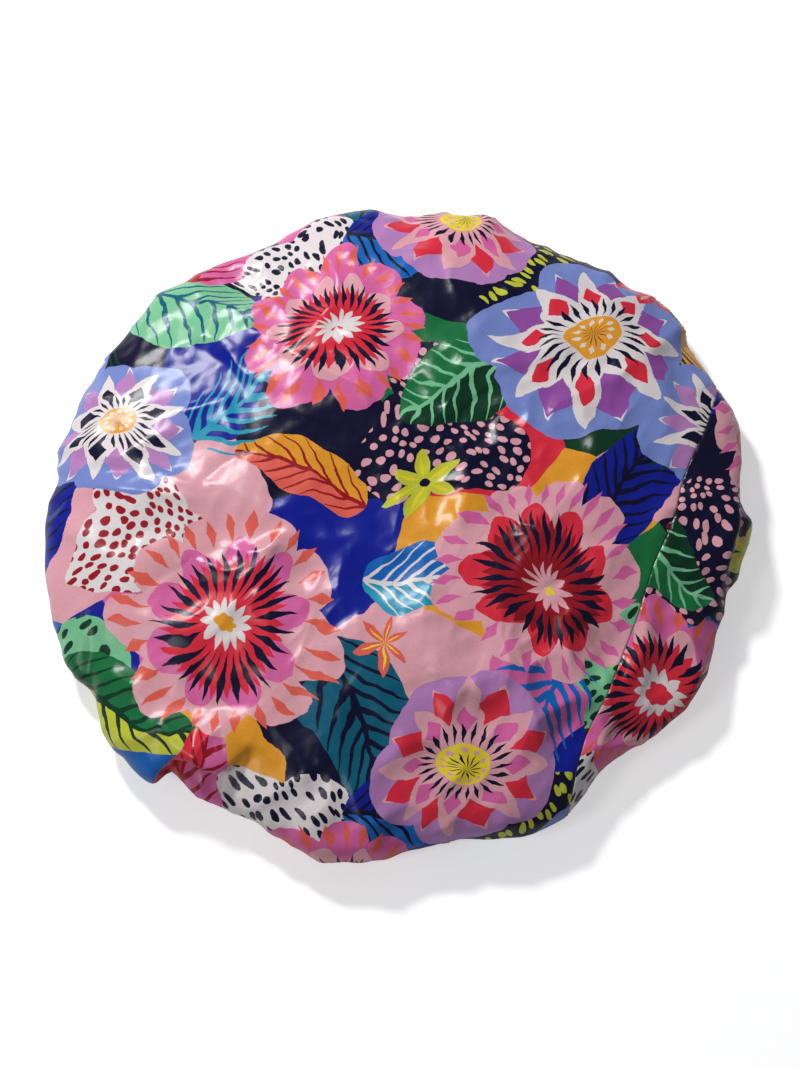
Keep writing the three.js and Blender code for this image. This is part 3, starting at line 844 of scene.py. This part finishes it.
def new_group(name, inputs, outputs):
    """A node group whose sockets are named by kind. Returns its graph, its input sockets and its output
    node's sockets."""
    tree = bpy.data.node_groups.new(name, "ShaderNodeTree")
    for way, sockets in (("INPUT", inputs), ("OUTPUT", outputs)):
        for kind, titles in sockets.items():
            for title in titles:
                tree.interface.new_socket(title, in_out=way, socket_type="NodeSocket" + kind)
    start = tree.nodes.new("NodeGroupInput")
    return Graph(tree), start.outputs, tree.nodes.new("NodeGroupOutput").inputs


def hand_cut_group():
    """Edges as if cut by hand: the place is moved by noises from broad to fine."""
    graph, given, out = new_group("Hand-cut edges", {"Vector": ["Vector"]}, {"Vector": ["Vector"]})
    place = given["Vector"]
    for scale, amount in ((13, 0.032), (45, 0.0095), (150, 0.0022), (600, 0.0004)):
        noise = graph.noise(given["Vector"], scale, 0.0)["Color"]
        centred = graph.vector("SUBTRACT", noise, (0.5, 0.5, 0.5))
        place = graph.vector("MULTIPLY_ADD", centred, (amount,) * 3, place)
    graph.put(out["Vector"], place)
    return graph.tree


def place_group(repeat):
    """A motif's own place: measured from its centre, wrapped into the print's repeat and turned."""
    graph, given, out = new_group(
        "Place motif", {"Vector": ["Vector", "Centre"], "Float": ["Turn"]},
        {"Vector": ["Vector"], "Float": ["Radius", "Angle"]})
    away = graph.vector("SUBTRACT", given["Vector"], given["Centre"])
    half = repeat / 2
    wrapped = graph.vector("WRAP", away, (half, half, 1), (-half, -half, -1))
    turned = graph.add("ShaderNodeVectorRotate", {"Vector": wrapped, "Angle": given["Turn"]},
                       rotation_type="Z_AXIS").outputs[0]
    x, y, _ = graph.add("ShaderNodeSeparateXYZ", {0: turned}).outputs
    graph.put(out["Vector"], turned)
    graph.put(out["Radius"], graph.reach(wrapped))
    graph.put(out["Angle"], graph.math("ARCTAN2", y, x))
    return graph.tree


def ring_group(name, sizes, inside):
    """A ring of like shapes round a motif's place. Inside works out their mask from the graph, the
    radius, w and the three sizes, w running from 0 in a shape's middle to 1 between two shapes."""
    graph, given, out = new_group(
        name, {"Float": ["Radius", "Angle", "Count", "Offset", *sizes]}, {"Float": ["Mask"]})
    steps = graph.times(given["Angle"], 1 / (2 * math.pi))
    w = graph.between(graph.math("MULTIPLY_ADD", steps, given["Count"], given["Offset"]))
    graph.put(out["Mask"], inside(graph, given["Radius"], w, *(given[size] for size in sizes)))
    return graph.tree


def petal(graph, radius, w, reach, notch, roundness):
    """Inside where the radius is under reach times 1 less notch times w to the power of roundness."""
    cut = graph.times(graph.math("POWER", w, roundness), notch)
    return graph.under(radius, graph.times(graph.rest(cut), reach))


def stroke(graph, radius, w, middle, half, width):
    """A brush stroke, widest at the middle radius and pointed at half its length to each side."""
    far = graph.math("ABSOLUTE", graph.math("SUBTRACT", radius, middle))
    return graph.under(w, graph.times(graph.rest(graph.math("DIVIDE", far, half)), width))


def motif_group(name, values, tones):
    """A group for a motif: its place and the colour below go in, and the colour with it comes out."""
    return new_group(
        name, {"Vector": ["Vector"], "Float": ["Radius", "Angle", *values], "Color": ["Colour", *tones]},
        {"Color": ["Colour"]})


def blossom_group(name, tones, layers, rings):
    """A blossom in layers over the colour below. Each layer is a ring of petals or of strokes, with its
    count, its offset and three sizes as shares of the blossom's reach, in one of the group's colours."""
    graph, given, out = motif_group(name, ["Reach"], tones)
    radius = graph.math("DIVIDE", given["Radius"], given["Reach"])
    colour = given["Colour"]
    for kind, *values, tone in layers:
        mask = graph.group(rings[kind], dict(enumerate([radius, given["Angle"], *values])))[0]
        colour = graph.mix(mask, colour, given[tone])
    graph.put(out["Colour"], colour)
    return graph.tree


def leaf_group():
    """A leaf along +X over the colour below: its half width is an uneven arch, the root of u times
    1 less u. Veins are slanted stripes that taper to its edge, one half is darker, and a midrib runs
    down the middle. A blade of 0 leaves only the veins, as leaflets on a stem."""
    graph, given, out = motif_group("Leaf", LEAF_VALUES[:6], LEAF_VALUES[6:])
    x, y, _ = graph.add("ShaderNodeSeparateXYZ", {0: given["Vector"]}).outputs
    u = graph.math("ADD", graph.math("DIVIDE", x, given["Length"]), 0.5)
    across = graph.math("DIVIDE", y, given["Length"])
    v = graph.math("ABSOLUTE", across)
    arch = graph.times(u, graph.rest(u))
    arch = graph.math("SQRT", graph.math("MAXIMUM", arch, 0.0))
    lean = graph.math("MULTIPLY_ADD", u, -0.7, 1.35)
    edge = graph.times(graph.times(arch, lean), given["Width"])
    inside = graph.under(v, edge)
    blade = graph.times(inside, given["Blade"])
    colour = graph.mix(blade, given["Colour"], given["Light half"])
    half = graph.times(blade, graph.math("GREATER_THAN", across, 0.0))
    colour = graph.mix(half, colour, given["Dark half"])
    run = graph.math("SUBTRACT", u, graph.times(v, given["Slant"]))
    stripe = graph.between(graph.times(run, given["Veins"]))
    near = graph.rest(graph.math("DIVIDE", v, graph.math("MAXIMUM", edge, 0.001)))
    taper = graph.math("SQRT", graph.math("MAXIMUM", near, 0.0))
    vein = graph.under(stripe, graph.times(taper, given["Vein width"]))
    rib = graph.under(v, graph.math("MULTIPLY_ADD", u, -0.012, 0.02))
    drawn = graph.times(inside, graph.math("MAXIMUM", vein, rib))
    graph.put(out["Colour"], graph.mix(drawn, colour, given["Vein"]))
    return graph.tree


def speckle_group(petals):
    """A rounded patch with dashes or dots on it, over the colour below: the dots lie round the points
    of a cell pattern, stretched along X."""
    graph, given, out = motif_group("Speckled patch", SPECKLE_VALUES[:4], SPECKLE_VALUES[4:])
    mask = graph.group(petals, {
        "Radius": given["Radius"], "Angle": given["Angle"], "Reach": given["Reach"],
        "Count": 3, "Offset": 0.1, "Notch": 0.3, "Roundness": 2})[0]
    stretch = graph.add("ShaderNodeCombineXYZ", {0: given["Stretch"], 1: 1.0, 2: 1.0}).outputs[0]
    dots = graph.add("ShaderNodeTexVoronoi", {
        "Vector": graph.vector("DIVIDE", given["Vector"], stretch),
        "Scale": graph.math("DIVIDE", 1.0, given["Pitch"]), "Randomness": 0.55,
    }, voronoi_dimensions="2D").outputs["Distance"]
    dot = graph.under(dots, given["Dot"])
    ground = graph.mix(mask, given["Colour"], given["Patch"])
    graph.put(out["Colour"], graph.mix(graph.times(mask, dot), ground, given["Speckle"]))
    return graph.tree


def patches_group(tones):
    """The ground of cut-paper patches: each cell of a cell pattern takes one of the tones."""
    graph, given, out = new_group("Colour patches", {"Vector": ["Vector"]}, {"Color": ["Colour"]})
    cells = graph.add("ShaderNodeTexVoronoi", {
        "Vector": given["Vector"], "Scale": 17.0, "Randomness": 0.9}, voronoi_dimensions="2D")
    pick = graph.add("ShaderNodeSeparateColor", {0: cells.outputs["Color"]}).outputs[0]
    ramp = graph.add("ShaderNodeValToRGB", {0: pick})
    bands = ramp.color_ramp
    bands.interpolation = "CONSTANT"
    bands.elements.remove(bands.elements[1])
    bands.elements[0].color = tones[0]
    for k, tone in enumerate(tones[1:], 1):
        bands.elements.new(k / len(tones)).color = tone
    graph.put(out["Colour"], ramp.outputs[0])
    return graph.tree


def weave_group():
    """Satin close up: fine slanted floats, a grain in the tone, and broad and fine handling creases.
    Height is for the bump, tone multiplies the colour and gloss is the roughness."""
    graph, given, out = new_group(
        "Satin weave", {"Vector": ["Vector"]}, {"Float": ["Height", "Tone", "Gloss"]})
    place = given["Vector"]
    floats = graph.add("ShaderNodeTexWave", {
        "Vector": place, "Scale": 700.0, "Distortion": 1.5, "Detail": 1.0, "Detail Scale": 2.0,
    }, bands_direction="DIAGONAL").outputs["Fac"]
    grain = graph.noise(place, 900.0, 1.0)[0]
    height = graph.math("MULTIPLY_ADD", grain, 0.05, graph.times(floats, 0.04))
    broad = graph.noise(place, 14.0)[0]
    handled = graph.add("ShaderNodeMapRange", {
        "Value": broad, "From Min": 0.38, "From Max": 0.68, "To Min": 0.25}, clamp=True).outputs[0]
    for scale, amount in ((26.0, -2.4), (64.0, -1.0), (150.0, -0.25)):
        crumple = graph.math("SUBTRACT", graph.noise(place, scale, 1.0, 0.3)[0], 0.5)
        ridge = graph.times(graph.math("ABSOLUTE", crumple), handled)
        height = graph.math("MULTIPLY_ADD", ridge, amount, height)
    graph.put(out["Height"], height)
    graph.put(out["Tone"], graph.math("MULTIPLY_ADD", grain, 0.2, 0.88))
    graph.put(out["Gloss"], graph.math("MULTIPLY_ADD", broad, 0.12, 0.18))
    return graph.tree


# The print in millimetres over one repeat: centre, turn in degrees, and then each motif's own values.
SPECKLES = (
    (18, 34, 20, 44, 6.5, 1.0, 0.3, "navy", "light_pink"),
    (-58, 132, 70, 40, 5.0, 2.0, 0.3, "cream", "navy"),
    (122, -92, -30, 46, 7.0, 1.6, 0.28, "mint", "dark_green"),
    (-128, -20, 10, 38, 5.5, 1.0, 0.33, "cream", "dark_red"),
    (66, 128, 50, 34, 5.0, 2.4, 0.3, "navy", "chartreuse"),
)
LEAVES = (
    (-22, -112, 68, 96, 0.52, 9, 1.3, 0.42, 1, "teal", "teal", "navy"),
    (34, 62, 152, 84, 0.46, 8, 1.2, 0.3, 1, "green", "dark_green", "mint"),
    (118, 6, -58, 90, 0.5, 10, 1.0, 0.45, 1, "royal_blue", "royal_blue", "navy"),
    (-112, 108, 28, 74, 0.6, 8, 1.1, 0.35, 1, "mint", "mint", "teal"),
    (-46, 14, 208, 66, 0.42, 7, 1.3, 0.3, 1, "mustard", "coral", "dark_red"),
    (-142, -104, 20, 92, 0.44, 9, 1.2, 0.34, 1, "chartreuse", "green", "dark_green"),
    (62, -112, 118, 82, 0.62, 9, 0.9, 0.62, 0, "navy", "navy", "bright_blue"),
    (138, 52, 96, 84, 0.55, 10, 1.4, 0.55, 0, "navy", "navy", "dark_green"),
    (-66, 58, -38, 78, 0.6, 10, 1.1, 0.55, 0, "navy", "navy", "turquoise"),
    (20, -44, 12, 70, 0.46, 8, 1.2, 0.36, 1, "turquoise", "bright_blue", "cream"),
    (-100, -142, -70, 70, 0.5, 8, 1.1, 0.4, 1, "hot_pink", "coral_red", "dark_red"),
    (4, 142, 10, 76, 0.5, 9, 1.1, 0.4, 1, "bright_blue", "royal_blue", "navy"),
)
DAHLIAS = (
    (-84, -62, 15, 57, "light_pink", "coral", "hot_pink", "coral_red", "navy", "cream", "mustard"),
    (72, -42, 40, 52, "light_pink", "hot_pink", "coral_red", "dark_red", "navy", "light_pink", "yellow"),
    (-34, 92, -10, 50, "hot_pink", "coral", "light_pink", "coral_red", "navy", "cream", "coral_red"),
)
ANEMONES = (
    (94, 86, 25, 50, "periwinkle", "cream", "purple", "coral_red", "navy", "mustard"),
    (28, -134, 70, 40, "mauve", "light_pink", "coral_red", "hot_pink", "navy", "yellow"),
    (-138, 40, 0, 38, "periwinkle", "cream", "mauve", "navy", "navy", "mustard"),
)
STARS = (
    (136, -132, 10, 26, "yellow", "coral", "navy"),
    (8, 8, 30, 19, "chartreuse", "yellow", "navy"),
    (-8, -70, 50, 17, "coral", "yellow", "dark_red"),
    (134, 128, 0, 20, "coral_red", "light_pink", "navy"),
)
DAHLIA_LAYERS = (
    ("petals", 9, 0.0, 1.0, 0.2, 2.4, "Petal"), ("strokes", 27, 0.0, 0.84, 0.14, 0.5, "Streak"),
    ("petals", 9, 0.5, 0.74, 0.3, 1.8, "Second"), ("petals", 26, 0.2, 0.6, 0.3, 1.0, "Third"),
    ("strokes", 26, 0.7, 0.46, 0.2, 0.62, "Stroke"), ("petals", 13, 0.1, 0.27, 0.35, 1.1, "Heart"),
    ("strokes", 13, 0.6, 0.26, 0.1, 0.4, "Third"), ("petals", 6, 0.0, 0.13, 0.15, 2.0, "Eye"),
)
ANEMONE_LAYERS = (
    ("petals", 5, 0.3, 1.14, 0.16, 2.0, "Ground"), ("petals", 16, 0.0, 0.98, 0.34, 1.2, "Petal"),
    ("strokes", 8, 0.0, 0.72, 0.22, 0.62, "Streak"), ("strokes", 8, 0.5, 0.56, 0.16, 0.5, "Spot"),
    ("strokes", 24, 0.3, 0.4, 0.13, 0.5, "Stroke"), ("petals", 1, 0.0, 0.27, 0.0, 1.0, "Eye"),
    ("strokes", 11, 0.0, 0.2, 0.035, 0.6, "Petal"), ("strokes", 14, 0.0, 0.09, 0.09, 0.4, "Stroke"),
)
STAR_LAYERS = (
    ("petals", 6, 0.0, 1.0, 0.62, 1.0, "Petal"), ("strokes", 6, 0.0, 0.45, 0.35, 0.25, "Heart"),
    ("petals", 1, 0.0, 0.2, 0.0, 1.0, "Eye"),
)

# Names of the values that follow each motif's place, and which of them are in millimetres.
SPECKLE_VALUES = ("Reach", "Pitch", "Stretch", "Dot", "Patch", "Speckle")
LEAF_VALUES = (
    "Length", "Width", "Veins", "Slant", "Vein width", "Blade", "Light half", "Dark half", "Vein")
DAHLIA_VALUES = ("Reach", "Petal", "Streak", "Second", "Third", "Stroke", "Heart", "Eye")
ANEMONE_VALUES = ("Reach", "Ground", "Petal", "Streak", "Spot", "Stroke", "Eye")
STAR_VALUES = ("Reach", "Petal", "Heart", "Eye")
LENGTHS = ("Reach", "Pitch", "Length")
BLOSSOMS = (
    ("Dahlia", DAHLIA_VALUES, DAHLIA_LAYERS, DAHLIAS),
    ("Anemone", ANEMONE_VALUES, ANEMONE_LAYERS, ANEMONES),
    ("Star", STAR_VALUES, STAR_LAYERS, STARS),
)

# Colours of the ground's patches.
GROUND = (
    "navy", "light_pink", "green", "hot_pink", "royal_blue", "light_pink", "navy", "royal_blue",
    "navy", "mustard", "navy", "hot_pink", "bright_blue", "coral_red", "navy", "dark_green",
)


def collage_group(sizes, tone):
    """The whole print: a ground of patches, then speckled patches, leaves, blossoms and stars, each put
    over what is below it."""
    graph, given, out = new_group("Flower collage", {"Vector": ["Vector"]}, {"Color": ["Colour"]})
    rings = {
        "petals": ring_group("Petal ring", ("Reach", "Notch", "Roundness"), petal),
        "strokes": ring_group("Stroke ring", ("Middle", "Half", "Width"), stroke),
    }
    place = place_group(sizes.print_repeat)
    cut = graph.group(hand_cut_group(), {"Vector": given["Vector"]})[0]
    colour = graph.group(patches_group([tone[name] for name in GROUND]), {"Vector": cut})[0]
    kinds = [
        (speckle_group(rings["petals"]), SPECKLE_VALUES, SPECKLES), (leaf_group(), LEAF_VALUES, LEAVES)]
    for name, values, layers, motifs in BLOSSOMS:
        kinds.append((blossom_group(name, values[1:], layers, rings), values, motifs))
    for tree, names, motifs in kinds:
        for x, y, turn, *values in motifs:
            at = graph.group(place, {
                "Vector": cut, "Centre": (x * MM, y * MM, 0), "Turn": math.radians(turn)})
            filled = {"Colour": colour, **{name: at[name] for name in ("Vector", "Radius", "Angle")}}
            for name, value in zip(names, values):
                filled[name] = tone[value] if value in tone else value * (MM if name in LENGTHS else 1)
            colour = graph.group(tree, filled)[0]
    graph.put(out["Colour"], colour)
    return graph.tree


def material(name):
    """An empty material with its shader. Returns the material, its graph and the shader."""
    made = bpy.data.materials.new(name)
    made.use_nodes = True
    graph = Graph(made.node_tree)
    return made, graph, made.node_tree.nodes["Principled BSDF"]


def deeper(colour, share):
    """A colour in linear light, darkened to a share."""
    return (*(part * share for part in colour[:3]), 1.0)


def satin_material(name, colour_of):
    """Satin with a colour that is worked out from the flat cut: glossy floats, a soft sheen, and a
    bump of its weave and handling creases."""
    made, graph, shader = material(name)
    place = graph.add("ShaderNodeUVMap", uv_map="flat_cut").outputs[0]
    close = graph.group(bpy.data.node_groups.get("Satin weave") or weave_group(), {"Vector": place})
    toned = graph.add("ShaderNodeVectorMath", {0: colour_of(graph, place), "Scale": close["Tone"]},
                      operation="SCALE")
    bump = graph.add("ShaderNodeBump", {"Height": close["Height"], "Strength": 0.5, "Distance": 0.0014})
    graph.fill(shader, {
        "Base Color": toned.outputs[0], "Roughness": close["Gloss"], "Normal": bump.outputs[0],
        "Specular IOR Level": 0.36, "Sheen Weight": 0.04, "Sheen Roughness": 0.4})
    return made


def plain_satin(name, colour):
    """Satin in one dyed colour, a little deeper and lighter in broad soft patches."""
    return satin_material(name, lambda graph, place: graph.mix(
        graph.noise(place, 30.0)[0], deeper(colour, 0.78), colour))


def dress(made, look, slot_name, *nodes):
    """Gives a piece its material, lets it stand for its CAD nodes and ride on the bonnet."""
    made.data.materials.append(look)
    if nodes:
        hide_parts(*nodes)
    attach(made, "root")
    return made


def tones_of(colours):
    """Every colour as linear light, by its name."""
    return {name: linear(getattr(colours, name)) for name in own_names(colours)}


class BONNET_OT_printed_panels(bpy.types.Operator):
    """Build the two printed satin panels of the outer layer"""

    bl_idname = "bonnet.printed_panels"
    bl_label = "Printed Panels"

    def execute(self, context):
        sizes = context.scene.bonnet_sizes
        collage = collage_group(sizes, tones_of(context.scene.bonnet_colours))
        look = satin_material(
            "printed_satin", lambda graph, place: graph.group(collage, {"Vector": place})[0])
        crown = dress(build_crown(sizes), look, "printed_satin", "crown_panel")
        side = dress(build_side(sizes), look, "printed_satin", "side_panel")
        return {"FINISHED"}


class BONNET_OT_lining(bpy.types.Operator):
    """Build the plain satin lining"""

    bl_idname = "bonnet.lining"
    bl_label = "Lining"

    def execute(self, context):
        sizes = context.scene.bonnet_sizes
        look = plain_satin("plain_satin", linear(context.scene.bonnet_colours.plain_cloth))
        made = dress(build_lining(sizes), look, "plain_satin", "lining")
        return {"FINISHED"}


def thread_material(colour):
    """Twisted sewing thread, dull and darker in the twist."""
    made, graph, shader = material("sewing_thread")
    twist = graph.noise(graph.add("ShaderNodeTexCoord").outputs["Object"], 2500.0)[0]
    graph.fill(shader, {"Base Color": graph.mix(twist, deeper(colour, 0.6), colour), "Roughness": 0.55})
    return made


class BONNET_OT_casing(bpy.types.Operator):
    """Build the ruched casing round the head opening, and its stitches"""

    bl_idname = "bonnet.casing"
    bl_label = "Casing"

    def execute(self, context):
        sizes, colours = context.scene.bonnet_sizes, context.scene.bonnet_colours
        look = plain_satin("casing_satin", linear(colours.plain_cloth))
        casing = dress(build_casing(sizes), look, "plain_satin", "elastic_casing")
        stitches = dress(build_stitches(sizes), thread_material(linear(colours.thread)), "plain_satin")
        return {"FINISHED"}


def elastic_material(colour):
    """Knitted elastic: fine rows of stitches across the strip in the bump, and painted shade in their
    grooves.
    """
    made, graph, shader = material("knitted_elastic")
    place = graph.add("ShaderNodeUVMap", uv_map="flat_cut").outputs[0]
    rows = graph.add("ShaderNodeTexWave", {"Vector": place, "Scale": 500.0, "Distortion": 1.0})
    knit_height_and_shade = rows.outputs["Fac"]
    bump = graph.add("ShaderNodeBump", {"Height": knit_height_and_shade, "Strength": 0.5, "Distance": 0.0003})
    # The colour is darker where the knit's bump is low: painted shade in the grooves between the rows.
    graph.fill(shader, {"Base Color": graph.mix(knit_height_and_shade, deeper(colour, 0.72), colour),
                        "Normal": bump.outputs[0], "Roughness": 0.85})
    return made


class BONNET_OT_elastic(bpy.types.Operator):
    """Build the ribbed elastic inside the casing"""

    bl_idname = "bonnet.elastic"
    bl_label = "Elastic"

    def execute(self, context):
        look = elastic_material(linear(context.scene.bonnet_colours.elastic))
        dress(build_elastic(context.scene.bonnet_sizes), look, "elastic", "elastic_band")
        return {"FINISHED"}


def area_light(name, place, aim, size, power):
    """A round soft light that faces its aim."""
    lamp = bpy.data.lights.new(name, "AREA")
    lamp.shape = "DISK"
    lamp.size = size
    lamp.energy = power
    made = bpy.data.objects.new(name, lamp)
    bpy.context.scene.collection.objects.link(made)
    turn_to(made, place, aim)


def turn_to(made, place, aim):
    """Puts an object at a place and turns its -Z to the aim, with +Y up."""
    away = np.array(place, float) - np.array(aim, float)
    away /= np.linalg.norm(away)
    side = np.cross((0, 0, 1), away)
    side /= np.linalg.norm(side)
    up = np.cross(away, side)
    rows = [[*row, at] for row, at in zip(np.stack([side, up, away], 1).tolist(), place)]
    made.matrix_world = [list(column) for column in zip(*(rows + [[0, 0, 0, 1]]))]


def table_material(colour):
    """Pale paper under the bonnet. The camera alone sees it glow, more so further out, where it runs
    into the white background."""
    made, graph, shader = material("table_paper")
    place = graph.add("ShaderNodeTexCoord").outputs["Object"]
    seen = graph.add("ShaderNodeLightPath").outputs["Is Camera Ray"]
    glow = graph.add("ShaderNodeMapRange", {
        "Value": graph.reach(place), "From Min": 0.45, "From Max": 1.5, "To Min": 0.48, "To Max": 0.85})
    graph.fill(shader, {
        "Base Color": graph.mix(graph.noise(place, 60.0)[0], deeper(colour, 0.985), colour),
        "Roughness": 0.9, "Specular IOR Level": 0.1, "Emission Color": (1, 1, 1, 1),
        "Emission Strength": graph.times(seen, glow.outputs[0])})
    return made


def studio_world():
    """A dim even light from all round, which the camera sees as white."""
    world = bpy.data.worlds.new("studio")
    world.use_nodes = True
    graph = Graph(world.node_tree)
    seen = graph.add("ShaderNodeLightPath").outputs["Is Camera Ray"]
    colour = graph.mix(seen, (0.138, 0.142, 0.153, 1), (1, 1, 1, 1))
    graph.put(world.node_tree.nodes["Background"].inputs["Color"], colour)
    return world


class BONNET_OT_stage(bpy.types.Operator):
    """Set up the table, the light and the camera"""

    bl_idname = "bonnet.stage"
    bl_label = "Stage"

    def execute(self, context):
        scene = context.scene
        side = np.linspace(-3, 3, 13)
        x, y = np.meshgrid(side, side, indexing="xy")
        table = mesh_object("table_top", np.stack([x, y, 0 * x], -1),
                            grid_faces(13, 13, False)[:, ::-1].tolist())
        table.data.materials.append(table_material(linear(scene.bonnet_colours.table)))

        scene.world = studio_world()
        area_light("key", (-0.46, 0.7, 0.86), (0, 0, 0.02), 0.16, 10.6)
        area_light("fill", (-0.78, -0.5, 0.95), (0, 0, 0.02), 0.36, 2.8)

        lens = bpy.data.cameras.new("camera")
        lens.lens = 60.8
        lens.sensor_width = 36
        camera = bpy.data.objects.new("camera", lens)
        scene.collection.objects.link(camera)
        rise, distance = math.radians(69), 0.9
        aim = (0, -0.0105, 0.015)
        turn_to(camera, (0, aim[1] - distance * math.cos(rise), aim[2] + distance * math.sin(rise)), aim)
        scene.camera = camera
        scene.view_settings.view_transform = "Standard"
        return {"FINISHED"}


class BONNET_PT_tools(bpy.types.Panel):
    """The bonnet's tools in the 3D view's sidebar"""

    bl_idname = "BONNET_PT_tools"
    bl_label = "Hair Bonnet"
    bl_space_type = "VIEW_3D"
    bl_region_type = "UI"
    bl_category = "Hair Bonnet"

    def draw(self, context):
        column = self.layout.column()
        for tool in TOOLS:
            column.operator(tool.bl_idname)
        for group in (context.scene.bonnet_sizes, context.scene.bonnet_colours):
            for name in own_names(group):
                column.prop(group, name)


TOOLS = (
    BONNET_OT_printed_panels,
    BONNET_OT_lining,
    BONNET_OT_casing,
    BONNET_OT_elastic,
    BONNET_OT_stage,
)
CLASSES = (BonnetSizes, BonnetColours, *TOOLS, BONNET_PT_tools)


def register():
    for made in CLASSES:
        bpy.utils.register_class(made)
    bpy.types.Scene.bonnet_sizes = bpy.props.PointerProperty(type=BonnetSizes)
    bpy.types.Scene.bonnet_colours = bpy.props.PointerProperty(type=BonnetColours)


def unregister():
    del bpy.types.Scene.bonnet_colours
    del bpy.types.Scene.bonnet_sizes
    for made in reversed(CLASSES):
        bpy.utils.unregister_class(made)


def main():
    """Builds the bonnet and its stage."""
    register()
    bpy.ops.bonnet.printed_panels()
    bpy.ops.bonnet.lining()
    bpy.ops.bonnet.casing()
    bpy.ops.bonnet.elastic()
    bpy.ops.bonnet.stage()


if __name__ == "__main__":
    main()
